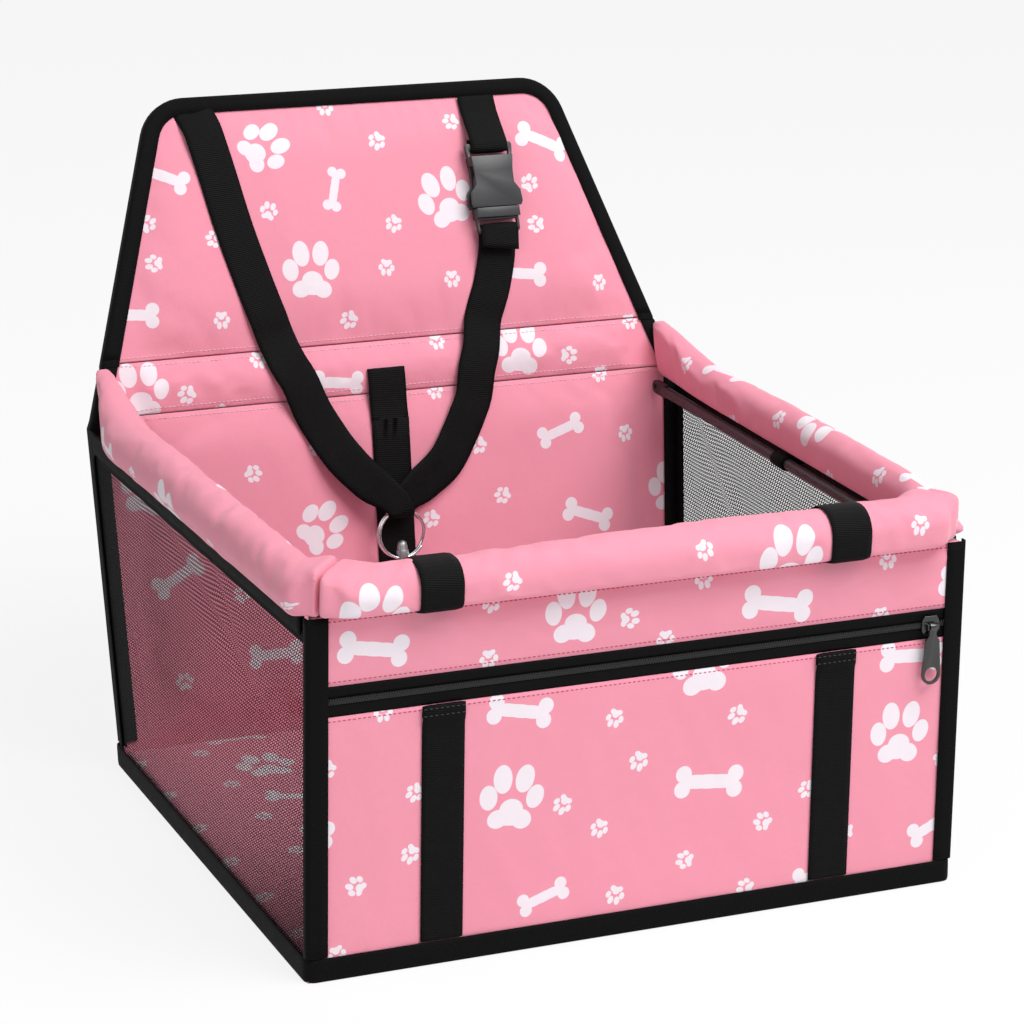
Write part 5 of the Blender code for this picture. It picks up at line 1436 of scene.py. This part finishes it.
def rail(name, frames, figures, straps=()):
    """A sleeve and its foam along two frames; straps are the loops over a front rail."""
    (p0, s0, l0), (p1, s1, l1) = frames
    length = (p1 - p0).length
    count = round(length / rail_cloth_step)
    front_one = bool(straps)
    axis = 0 if front_one else 1
    usual = front_section(0.0) if front_one else side_section(1, length / 2, length / 2)
    run = running(usual + usual[:1])
    size = len(usual)
    points, held = [], []
    for place, share in enumerate(spread(0, 1, count)):
        near, far = share * length, (1 - share) * length
        x = p0.x + (p1.x - p0.x) * share
        section = front_section(x) if front_one else side_section(p0.x, near, far)
        strap = min([1.0] + [abs(x - loop) - webbing_width / 2 - 0.001 for loop in straps])
        ease = min(near, far, max(0.0, strap))
        creased = 0.0012 * max(0.0, 1 - ease / 0.03) + 0.0006
        amount = puff * swell(ease, puff_reach) - (seam_dent if place in (0, count) else 0)

        def wrinkle(k):
            height = ripple(near, run[k] * 0.6, 0.011, len(name) + p0.x * 50)
            return creased * swell(ease, 0.008) * height

        for across, up in puffed(section, amount, wrinkle):
            begin, end = p0 + s0 * across + l0 * up, p1 + s1 * across + l1 * up
            points.append(begin.lerp(end, share))
            held.append(place in (0, count) or up < 0.002 or strap <= 0)
    faces, uv = skin(
        size, count + 1,
        lambda ring, corner: (points[ring * size + corner % size][axis], run[corner]),
        [(9.0, 9.0)] * size,
    )
    sleeve = new_mesh(name + "_cloth", points, faces, printed_cloth, uv)
    lay_print(sleeve, figures)
    settle(sleeve, np.array(held), sleeve_slack, sleeve_most)
    inside = [vertex.co - vertex.normal * foam_depth for vertex in sleeve.data.vertices]
    filling = new_mesh(name + "_filling", inside, faces, soft_foam, uv)
    refine(sleeve)
    refine(filling)
    finish_piece(sleeve, "basket", name + "_sleeve")
    finish_piece(filling, "basket", name + "_foam")


rail("front_rail", [
    (Vector((-rail_half + 0.0002, front_rail_y, rail_foot)), X + Y, Z),
    (Vector((rail_half - 0.0002, front_rail_y, rail_foot)), Y - X, Z),
], rail_figures, loop_xs)
rail_lean = Vector((0, tan(flap_lean), 1))
rail_end_y = fold_band.y_at(rail_foot) - 0.0006 / cos(flap_lean)
for name, side, seed in (("left", -1, 37), ("right", 1, 43)):
    rail(name + "_rail", [
        (Vector((side * rail_half, front_rail_y + 0.0002, rail_foot)), X * -side + Y, Z),
        (Vector((side * rail_half, rail_end_y, rail_foot)), X * -side, rail_lean),
    ], side_rail_figures if side < 0 else scattered_print(0, 110, seed))

# The tabs that carry the side rods
# A short loop of the same tape goes round the middle of each rod, and its two tails are sewn to the
# tape along the top of the mesh.
rod_inset, rod_drop, rod_radius = 0.0185, 0.0052, 0.0034
tab_length, tab_thickness = 0.0140, 0.0009
tab_tail = [(0.0164, 0.0006), (0.0100, 0.0006), (0.0058, 0.0010)]
for name, side in (("left", -1), ("right", 1)):
    node = frame["nodes"][name + "_rod_tab"]
    corners = [node.matrix_world @ vertex.co for vertex in node.data.vertices]
    middle = sum(corners, Vector()) / len(corners)
    centre = Vector((side * (half_width(rail_level) - rod_inset), middle.y, rail_level - rod_drop))
    round_rod = arc(0, 0, rod_radius + gap + tab_thickness / 2, 48, 312, 14)
    line = tab_tail + [point[:2] for point in round_rod]
    line += [(across, -up) for across, up in reversed(tab_tail)]
    frames = [(centre + Y * tab_length * share, X * side, Z) for share in (-0.5, 0, 0.5)]
    tab = tape_strip(name + "_tab", frames, line, tab_thickness, binding_tape)
    finish_piece(tab, "basket", name + "_rod_tab")

# The back below the fold
# A padded lining, a narrower padded band above its seam, a stiff board and a plain cover behind,
# with a strap sewn down the middle. The pads are puffed as cloth and kept under the straps.
seam_half_gap = gap / 2
lining_high = lower_length - seam_half_gap
wall_start = cover_high + gap
back_start = wall_start / cos(back_lean) - cover_back * tan(back_lean)
lower_crown, lower_ramp, band_crown = 0.0045, 0.030, 0.0042
band_pad_high = band_length - 0.00003
pad_clear_half, pad_most, pad_slack, band_slack = 0.168, 0.0045, 0.012, 0.03
lining_back = -0.0008
lower_figures = (
    ("bone", 111.2, 180.9, 18, 32.0), ("bone", 127.8, 125.4, -20, 34.8),
    ("paw", -54.5, 135.8, -53, 33.5), ("paw", 192.0, 137.2, -3, 33.4),
    ("paw", 159.6, 174.6, -171, 11.3), ("paw", 68.8, 143.5, 110, 11.2),
    ("paw", 19.4, 133.4, 130, 11.3), ("paw", 54.4, 176.7, 126, 11.3),
    ("paw", 28.4, 213.9, -175, 11.3), ("paw", -54.1, 185.1, -136, 11.3),
    ("paw", 143.4, 214.4, -170, 10.8), ("paw", -98.0, 173.4, -120, 11.3),
    ("bone", -150.0, 115.0, 30, 34.0), ("paw", 40.0, 85.0, -10, 36.0),
    ("bone", -90.0, 60.0, 0, 35.0), ("paw", 150.0, 60.0, 20, 36.0),
    ("paw", -165.0, 172.0, -15, 36.0), ("paw", 90.0, 90.0, 10, 11.3),
    ("paw", -110.0, 100.0, -30, 11.3), ("paw", -30.0, 70.0, 15, 11.3),
    ("paw", 100.0, 45.0, 40, 11.3), ("paw", -150.0, 50.0, 5, 11.3), ("paw", 0.0, 110.0, 80, 11.3),
    ("bone", 20.0, 35.0, 12, 34.0),
)
band_figures = (
    ("paw", -166.0, 15.0, -3, 37.0), ("paw", -136.5, 9.5, 111, 11.6),
    ("paw", -87.3, 27.1, 172, 11.3), ("paw", -114.7, -3.3, 143, 11.0),
    ("paw", 88.8, 20.4, -9, 36.6), ("paw", 122.2, 12.0, -95, 11.5), ("paw", 33.3, 28.6, -178, 11.0),
    ("bone", -37.1, 8.2, -6, 33.8), ("paw", 170.0, 30.5, 178, 11.0),
    ("paw", 145.0, -2.0, -170, 11.0),
)


def pad_height(height, ramp, low, high, clear):
    """The crown of a padded panel, flat in its borders; clear(up) is where the raised part ends."""
    clear = as_function(clear)

    def front(x, up):
        rise = swell(clear(up) - abs(x), ramp)
        return height * rise * swell(up - low, ramp) * swell(high - up, ramp)
    return front


lower_pad = pad_height(lower_crown, lower_ramp, lining_low, lining_high, pad_clear_half)
band_pad = pad_height(band_crown, band_length / 2, 0, band_length - gap, pad_clear_half)


def edge_half(wall):
    return lambda up: half_width(wall.at(0, up, 0).z) - back_edge


def padded_wall(name, wall, ups, half, pad, figures, slack, straps, spare=0.0016):
    """A pad on a wall whose face settles as cloth, but stays down under the straps."""
    def front(x, up):
        uneven = 0.0004 * ripple(x, up, 0.04, len(name))
        return pad(x, up) + uneven * min(1.0, pad(x, up) / 0.003)

    piece = wall_shell(name, wall, ups, half, lining_back, front, printed_cloth)
    lay_print(piece, figures)
    rows = len(ups)
    columns = len(piece.data.vertices) // 2 // rows
    number = np.arange(len(piece.data.vertices))
    row, column = number % (columns * rows) // columns, number % columns
    border = np.minimum.reduce([row, rows - 1 - row, column, columns - 1 - column])
    held = (number < columns * rows) | (border < 1)
    for index in np.nonzero(~held)[0]:
        along = piece.data.vertices[index].co - wall.foot
        held[index] = pad(along.dot(X), along.dot(wall.up)) < 0.0003
    foot, up_axis, out_axis = (np.array(v) for v in (wall.foot, wall.up, wall.out))

    def keep_in(placed):
        away = placed - foot
        out = away @ out_axis
        ups_now = away @ up_axis
        for index in np.nonzero(~held)[0]:
            x, up = float(placed[index, 0]), float(ups_now[index])
            clear = min(1.0, strap_distance(x, up, straps) / strap_hold_reach)
            top = pad(x, up) + spare * clear
            low = min(0.0, pad(x, up))
            if out[index] > top:
                placed[index] += out_axis * (top - out[index])
            elif out[index] < low:
                placed[index] += out_axis * (low - out[index])
        return placed

    settle(piece, held, slack, pad_most, keep_in)
    refine(piece)
    return piece


def strap_distance(x, up, straps):
    """How far a place on a wall is outside the footprint of the straps that cross it."""
    best = 1.0
    place = Vector((x, up))
    for line in straps:
        for here, there in zip(line, line[1:]):
            start, run = Vector(here), Vector(there) - Vector(here)
            share = clamp((place - start).dot(run) / run.length_squared)
            best = min(best, (place - start - run * share).length)
    return max(0.0, best - webbing_width / 2 - 0.001)


back_strap_x = -0.0050
lower_straps = [
    [(back_strap_x, 0.02), (back_strap_x, 0.22)],
    [(-0.0640, 0.2266), (-0.0570, 0.2098), (-0.0500, 0.1960), (-0.0400, 0.1790)],
    [(0.0290, 0.1690), (0.0400, 0.1840), (0.0480, 0.1990), (0.0560, 0.2238)],
]
band_straps = [
    [(back_strap_x, -0.01), (back_strap_x, 0.0148)],
    [(-0.0745, 0.0396), (-0.0570, -0.0060)], [(0.0660, 0.0396), (0.0530, -0.0067)],
]
rows = [back_start] + spread(lining_low, lining_high, 38)
back_lining = padded_wall(
    "back_lining_cloth", lower_back, rows, edge_half(lower_back), lower_pad, lower_figures,
    pad_slack, lower_straps,
)
finish_piece(back_lining, "basket", "back_lining")
rows = spread(seam_half_gap, band_pad_high, 9)
band = padded_wall(
    "fold_band_cloth", fold_band, rows, edge_half(fold_band), band_pad, band_figures,
    band_slack, band_straps, 0.0012,
)
finish_piece(band, "basket", "fold_band_pad")
stitch("back_seam_stitches", [
    along_seam(back_lining, lower_back, 0.186, lower_length - 0.0022),
    along_seam(band, fold_band, 0.183, 0.0022),
    along_seam(band, fold_band, 0.178, band_length - 0.0020),
], pale_thread, "basket")


def bent_cloth(name, back, front, surface):
    """A layer that runs up the lower back and bends into the band below the fold."""
    bend = mitre(lower_back.out, fold_band.out)
    lower_ups = spread(back_start, lower_length, 30)[:-1]
    band_ups = spread(0, band_length - fold_relief, 5)[1:]
    stations = [(lower_back, up, lower_back.out) for up in lower_ups]
    stations += [(lower_back, lower_length, bend)]
    stations += [(fold_band, up, fold_band.out) for up in band_ups]
    shares = spread(-1, 1, 56)
    size = (len(shares), len(stations))

    def place(column, row, face):
        wall, up, out = stations[row]
        foot = wall.at(0, up, 0)
        x = (half_width(foot.z) - back_edge) * shares[column]
        off = (back, front)[face]
        edge = min(1.0, (1 - abs(shares[column])) * 12)
        if face == 0:
            off -= 0.0007 * edge * (0.5 + 0.5 * ripple(x, foot.z, 0.06, 51))
        return foot + X * x + out * off

    def flat(column, row):
        wall, up, _ = stations[row]
        return shares[column] * seat_half, wall.at(0, up, 0).z * 1.02

    return sewn_shell(name, *size, place, flat, surface)


cover_front = -0.0054
back_cover = bent_cloth("back_cover_cloth", cover_back, cover_front, plain_cloth)
finish_piece(back_cover, "basket", "back_cover")

# The flap above the fold
# The same layers as the back, with their upper corners rounded and one tape folded over the edge.
# The cover cloth and the tapes run on across the fold.
flap_radius, flap_crown, flap_ramp = 0.030, 0.0050, 0.034
flap_taper = (half_width(fold_level) - flap_top_half) / flap_length
flap_slope = sqrt(1 + flap_taper**2)
corner_up = flap_length - flap_radius
corner_x = half_width(fold_level) - flap_taper * corner_up - flap_radius * flap_slope
flap_figures = (
    ("paw", -66.8, 126.0, -60, 33.0), ("paw", -46.5, 47.2, -5, 37.3), ("paw", 49.7, 86.1, 14, 38.0),
    ("bone", -24.4, 96.1, 74, 27.5), ("bone", -134.2, 112.6, -27, 34.4),
    ("bone", -165.6, 29.1, -7, 35.3), ("bone", 122.9, 117.6, -22, 37.8),
    ("bone", 94.7, 34.2, -7, 35.5), ("paw", 8.7, 124.4, 142, 11.8), ("paw", -69.1, 85.7, -21, 11.6),
    ("paw", 12.8, 71.8, 143, 11.3), ("paw", 4.0, 44.8, 170, 11.0), ("paw", 47.6, 34.2, 180, 11.2),
    ("paw", -21.1, 148.8, 170, 11.0), ("paw", -147.4, 84.2, -43, 11.3),
    ("paw", -146.9, 59.0, 86, 11.2), ("paw", -106.8, 70.9, 100, 11.0),
    ("paw", -108.4, 20.8, 179, 11.0), ("paw", -24.4, 14.2, 126, 11.4),
    ("paw", 61.6, 134.5, 114, 11.4), ("paw", 109.1, 91.3, -35, 11.6),
    ("paw", 109.7, 64.8, 88, 11.4), ("paw", 150.6, 24.5, -178, 11.0),
    ("paw", 169.8, -2.9, 179, 11.0),
)


def flap_half(inset):
    """Half the width of the flap at a height up it, this far inside its edge."""
    radius = flap_radius - inset
    straight_end = corner_up + radius * flap_taper / flap_slope

    def half(up):
        if up <= straight_end:
            return half_width(fold_level) - flap_taper * up - inset * flap_slope
        return corner_x + sqrt(max(0.0, radius**2 - (up - corner_up) ** 2))
    return half


def flap_ups(inset, start, step=0.0055):
    """Rows up the flap, closer together round its top corners."""
    radius = flap_radius - inset
    first = atan(flap_taper)
    straight_end = corner_up + radius * sin(first)
    ups = spread(start, straight_end, round((straight_end - start) / step))
    return ups + [corner_up + radius * sin(a) for a in spread(first, pi / 2, 9)[1:]]


flap_straps = [
    [(-0.1067, 0.1465), (-0.1035, 0.1290), (-0.1000, 0.1110), (-0.0935, 0.0770), (-0.0860, 0.0460),
     (-0.0815, 0.0290), (-0.0745, 0.0070), (-0.0700, -0.0090)],
    [(0.0615, -0.0090), (0.0660, 0.0070), (0.0700, 0.0180), (0.0745, 0.0290), (0.0795, 0.0480),
     (0.0815, 0.0600), (0.0815, 0.1502)],
]
flap_pad_top = flap_length - back_edge - binding_leg - gap
edge_of_flap = flap_half(back_edge)
flap_pad = pad_height(
    flap_crown, flap_ramp, fold_relief, flap_pad_top,
    lambda up: edge_of_flap(up) - binding_leg - gap,
)
flap_lining = padded_wall(
    "flap_lining_cloth", flap_wall, flap_ups(back_edge, 0.00003), edge_of_flap, flap_pad,
    flap_figures, pad_slack, flap_straps,
)
finish_piece(flap_lining, "flap", "flap_lining")
flap_row = along_seam(flap_lining, flap_wall, 0.176, 0.0024)
stitch("flap_seam_stitches", [flap_row], pale_thread, "flap")


def flap_cover_back(x, up):
    edge = min(1.0, (edge_of_flap(up) - abs(x)) / 0.02)
    return cover_back - 0.0007 * edge * (0.5 + 0.5 * ripple(x, up, 0.06, 53))


flap_cover = wall_shell(
    "flap_cover_cloth", flap_wall, flap_ups(back_edge, fold_relief, 0.008), edge_of_flap,
    flap_cover_back, cover_front, plain_cloth, 0.007,
)
finish_piece(flap_cover, "flap", "flap_cover")


def flap_outline(inset, start):
    ups = flap_ups(inset, start, 0.006)
    half = flap_half(inset)
    right = [(half(up), up) for up in ups]
    return [Vector((-x, up)) for x, up in right] + [Vector((x, up)) for x, up in reversed(right)]


def flap_tape_frames():
    outline = flap_outline(back_edge, fold_relief)
    frames = []
    for place, point in enumerate(outline):
        ways = []
        if place:
            ways.append((point - outline[place - 1]).normalized())
        if place < len(outline) - 1:
            ways.append((outline[place + 1] - point).normalized())
        normals = [Vector((way.y, -way.x)) for way in ways]
        inward = mitre(normals[0], normals[-1])
        if len(ways) == 1:
            inward = Vector((-flap_slope if point.x > 0 else flap_slope, 0))
        side = X * inward.x + flap_wall.up * inward.y
        frames.append((flap_wall.at(point.x, point.y, 0), side, flap_wall.out))
    return frames


edge_line = folded_tape(binding_leg, cover_back, folded_wall)
flap_tape = tape_strip(
    "flap_tape", in_steps(flap_tape_frames()), edge_line, tape_thickness, binding_tape,
    uneven=tape_uneven,
)
finish_piece(flap_tape, "flap", "flap_binding")
fold_start = fold_band.at(0, band_length - fold_relief, 0)
fold_end = flap_wall.at(0, fold_relief, 0)
for name, side in (("left", -1), ("right", 1)):
    frames = []
    for share in spread(0, 1, 6):
        foot = fold_start.lerp(fold_end, share)
        half, inward = half_width(foot.z) - back_edge, X * -side
        if share > 0:
            half = edge_of_flap(max(0.0, (foot - flap_wall.foot).dot(flap_wall.up)))
            inward *= flap_slope
        frames.append((foot + X * side * half, inward, flap_wall.out))
    bridge = tape_strip(name + "_fold_tape", frames, edge_line, tape_thickness, binding_tape)
    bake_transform(bridge)
shares, steps = spread(-1, 1, 30), spread(0, 1, 6)


def fold_place(column, row, face):
    foot = fold_start.lerp(fold_end, steps[row])
    across = X * (half_width(foot.z) - back_edge) * shares[column]
    return foot + across + flap_wall.out * (cover_back, cover_front)[face]


fold_cloth = sewn_shell(
    "fold_cloth", len(shares), len(steps), fold_place,
    lambda column, row: (shares[column] * 0.19, 0.24 + steps[row] * 0.0046), plain_cloth,
)
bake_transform(fold_cloth)

# The straps on the back
# One strap is sewn down the middle of the back. A longer one starts at the top left of the flap and
# runs down through the ring and up again to the buckle's clip. The socket hangs on a short one.
strap_slant = 0.40
strap_layer = webbing_thickness + gap


def laid(wall, pad, x, up, under=0.0):
    """A stop where slanting webbing lies on the highest point of a pad under its width."""
    half = webbing_width / 2
    crown = max(
        pad(x + half * share, up + half * share * slant)
        for share in (-1, -0.5, 0, 0.5, 1) for slant in (-strap_slant, 0, strap_slant)
    )
    return (wall.at(x, up, crown + under + gap + webbing_thickness / 2), wall.out, webbing_width)


stops = [laid(fold_band, band_pad, back_strap_x, up) for up in (0.0148, 0.0074)]
for drop in (0.25, 0.6, 1.0):
    stops.append(laid(lower_back, lower_pad, back_strap_x, lower_length - lower_ramp * drop))
for up in (lining_low + lower_ramp, 0.0300):
    stops.append(laid(lower_back, lower_pad, back_strap_x, up))
middle_strap = webbing("middle_strap", stops)
finish_piece(middle_strap, "basket", "back_strap")

tether_x, ring_up, tether_out, ring_radius = -0.0062, 0.1280, 0.0168, 0.0152
ring_turn = 0.0033 + webbing_thickness / 2
strap_loop_up = ring_up + ring_radius - 0.0006
buckle_x, buckle_split, buckle_out = 0.0815, 0.0768, 0.0112
bar_thickness, bar_height = 0.0028, 0.0042
clip_low = buckle_split - gap - 0.0160
socket_top = buckle_split + 0.0412
bar_turn = bar_thickness / sqrt(2) + gap + webbing_thickness / 2
clip_turn_up = clip_low + bar_height - bar_thickness / 2


def turn_round(wall, x, up, out, radius, start, end, count, width=webbing_width):
    """Stops round a bar across the seat; angles run from out (0) to up (pi / 2)."""
    stops = []
    for angle in spread(start, end, count):
        face = wall.out * cos(angle) + wall.up * sin(angle)
        stops.append((wall.at(x, up, out) + face * radius, face, width))
    return stops


def on_flap(x, up):
    return laid(flap_wall, flap_pad, x, up)


def on_band(x, up):
    return laid(fold_band, band_pad, x, up, strap_layer)


def on_lower(x, up):
    return laid(lower_back, lower_pad, x, up, strap_layer)


def limb(rows, face):
    return [(wall.at(x, up, out), wall.out * face, width) for wall, x, up, out, width in rows]


ring_front, ring_back = tether_out + ring_turn, tether_out - ring_turn
stops = limb([
    (flap_wall, -0.1102, 0.1545, -0.0004, webbing_width),
    (flap_wall, -0.1085, 0.1502, 0.0006, webbing_width),
], 1)
stops += [on_flap(x, up) for x, up in (
    (-0.1055, 0.1400), (-0.1035, 0.1290), (-0.1000, 0.1110), (-0.0935, 0.0770),
    (-0.0860, 0.0460), (-0.0815, 0.0290), (-0.0780, 0.0180), (-0.0745, 0.0070),
)]
stops += [on_band(-0.0700, 0.0230), on_band(-0.0640, 0.0110)]
stops += [on_lower(-0.0570, lower_length - 0.0060), on_lower(-0.0500, 0.1960)]
stops += limb([
    (lower_back, -0.0400, 0.1790, 0.0112, 0.0252), (lower_back, -0.0255, 0.1620, 0.0160, 0.0240),
    (lower_back, -0.0120, 0.1510, ring_front - 0.0008, 0.0190),
], 1)
stops += turn_round(lower_back, tether_x, strap_loop_up, tether_out, ring_turn, 0, -pi, 8, 0.0165)
stops += limb([
    (lower_back, 0.0010, 0.1500, ring_back - 0.0004, 0.0190),
    (lower_back, 0.0130, 0.1575, 0.0108, 0.0240), (lower_back, 0.0290, 0.1690, 0.0092, 0.0252),
], -1)
for point, face, width in (
    on_lower(0.0400, 0.1840), on_lower(0.0480, 0.1990), on_lower(0.0530, 0.2090),
    on_band(0.0560, 0.0080), on_band(0.0610, 0.0220), on_flap(0.0660, 0.0070),
    on_flap(0.0700, 0.0180), on_flap(0.0745, 0.0290),
):
    stops.append((point, -face, width))
stops += limb([
    (flap_wall, 0.0795, 0.0480, buckle_out - bar_turn, webbing_width),
    (flap_wall, buckle_x, clip_turn_up, buckle_out - bar_turn, webbing_width),
], -1)
stops += turn_round(flap_wall, buckle_x, clip_turn_up, buckle_out, bar_turn, 7 * pi / 8, pi / 8, 5)
stops += limb([
    (flap_wall, buckle_x, clip_turn_up, buckle_out + bar_turn, webbing_width),
    (flap_wall, 0.0800, 0.0500, buckle_out + bar_turn, webbing_width),
], 1)
tether = webbing("tether_strap", stops, level_start=True)
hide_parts("long_strap")


def cut_off(piece, name, belongs):
    """Moves the faces that belong to an end of a piece into a piece of their own."""
    end = link_object(name, piece.data.copy())
    for part, wanted in ((piece, False), (end, True)):
        flesh = bmesh.new()
        flesh.from_mesh(part.data)
        unwanted = [face for face in flesh.faces if belongs(face.calc_center_median()) != wanted]
        bmesh.ops.delete(flesh, geom=unwanted, context="FACES")
        flesh.to_mesh(part.data)
        flesh.free()
    return end


# The end that runs up to the clip is cut off as a piece of its own.
tether_end = cut_off(
    tether, "tether_strap_end",
    lambda point: point.x > 0.03 and (point - flap_wall.at(0, 0.0135, 0)).dot(flap_wall.up) > 0,
)
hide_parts("long_strap")
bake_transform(tether)
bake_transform(tether_end)

front, back = buckle_out + bar_turn, buckle_out - bar_turn
rise = flap_pad_top - socket_top
turn_up = socket_top - bar_height + bar_thickness / 2
stops = [on_flap(buckle_x, flap_pad_top), on_flap(buckle_x, flap_pad_top - rise * 0.3)]
for up in (socket_top, turn_up):
    stops.append((flap_wall.at(buckle_x, up, front), flap_wall.out, webbing_width))
stops += turn_round(flap_wall, buckle_x, turn_up, buckle_out, bar_turn, -pi / 8, -7 * pi / 8, 5)
for up in (turn_up, socket_top + rise * 0.1):
    stops.append((flap_wall.at(buckle_x, up, back), -flap_wall.out, webbing_width))
short_webbing = webbing("short_webbing", stops, level_start=True)
finish_piece(short_webbing, "flap", "socket_webbing")

# The buckle
# A moulded side release buckle in satin black plastic: a socket, a clip and its two springy prongs.
satin_plastic, tree, shader = new_material("satin_plastic", "black_plastic", 0.36)
grain = object_noise(tree, 1500.0, 2.0)
tone = two_tones(tree, grain, (0.018, 0.019, 0.021, 1), (0.030, 0.031, 0.034, 1))
tree.links.new(tone, shader["Base Color"])
tree.links.new(relief(tree, 0.2, 0.0001, grain), shader["Normal"])
for name, node, body, edge in (
    ("buckle_socket_body", "buckle_socket", "flap", 0.0007),
    ("buckle_clip_body", "buckle_clip", "buckle_clip", 0.0005),
    ("left_prong_arm", "left_prong", "left_prong", 0.0005),
    ("right_prong_arm", "right_prong", "right_prong", 0.0005),
):
    fine_copy(name, node, satin_plastic, body, edge)

# The ring and the snap hook
# A split ring of bright steel wire, wound twice, and a zinc snap hook that swivels under it.
ring_wire, ring_pitch, crossing, ring_end = 0.0010, 0.0024, radians(50), radians(35)


def bare_metal(name, slot, colour, metallic, roughness, scale, least, more):
    """A metal whose roughness drifts from least upwards."""
    given = {"Base Color": colour, "Metallic": metallic}
    surface, tree, shader = new_material(name, slot, roughness, given)
    scuffs = object_noise(tree, scale, 5.0)
    tree.links.new(arithmetic(tree, "MULTIPLY_ADD", scuffs, more, least), shader["Roughness"])
    return surface


bright_steel = bare_metal(
    "bright_steel_wire", "bright_steel", (0.68, 0.68, 0.70, 1), 1.0, 0.22, 600.0, 0.12, 0.2
)
zinc = bare_metal("cast_zinc", "grey_zinc", (0.34, 0.345, 0.355, 1), 0.9, 0.36, 400.0, 0.24, 0.3)


def climb(angle):
    """How far the wire has crossed from one turn to the other."""
    return ring_pitch * (smooth((angle - 2 * pi + crossing / 2) / crossing) - 0.5)


ring_line = [(ring_wire * cos(a), ring_wire * sin(a)) for a in spread(0, 2 * pi, 14)[:-1]]
points, faces = [], []
turns = spread(ring_end, 4 * pi - ring_end, 160)
for angle in turns:
    radial = X * cos(angle) + lower_back.up * sin(angle)
    centre = lower_back.at(tether_x, ring_up, tether_out + climb(angle)) + radial * ring_radius
    points += [centre + radial * across + lower_back.out * up for across, up in ring_line]
size = len(ring_line)
faces, uv = skin(size, len(turns), lambda ring, corner: (0, 0), [(0, 0)] * size)
ring = new_mesh("wound_ring", points, faces, bright_steel, uv)
finish_piece(ring, "tether_ring", "split_ring")
for name, node, edge in (
    ("hook_eye", "snap_eye", 0.0003), ("hook_body", "snap_hook", 0.0002),
    ("hook_gate", "snap_gate", 0.0003),
):
    fine_copy(name, node, zinc, node, edge)

size = {
    "cad_box": [list(corner) for corner in cad_box],
    "visual_box": [list(corner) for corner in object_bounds()],
}
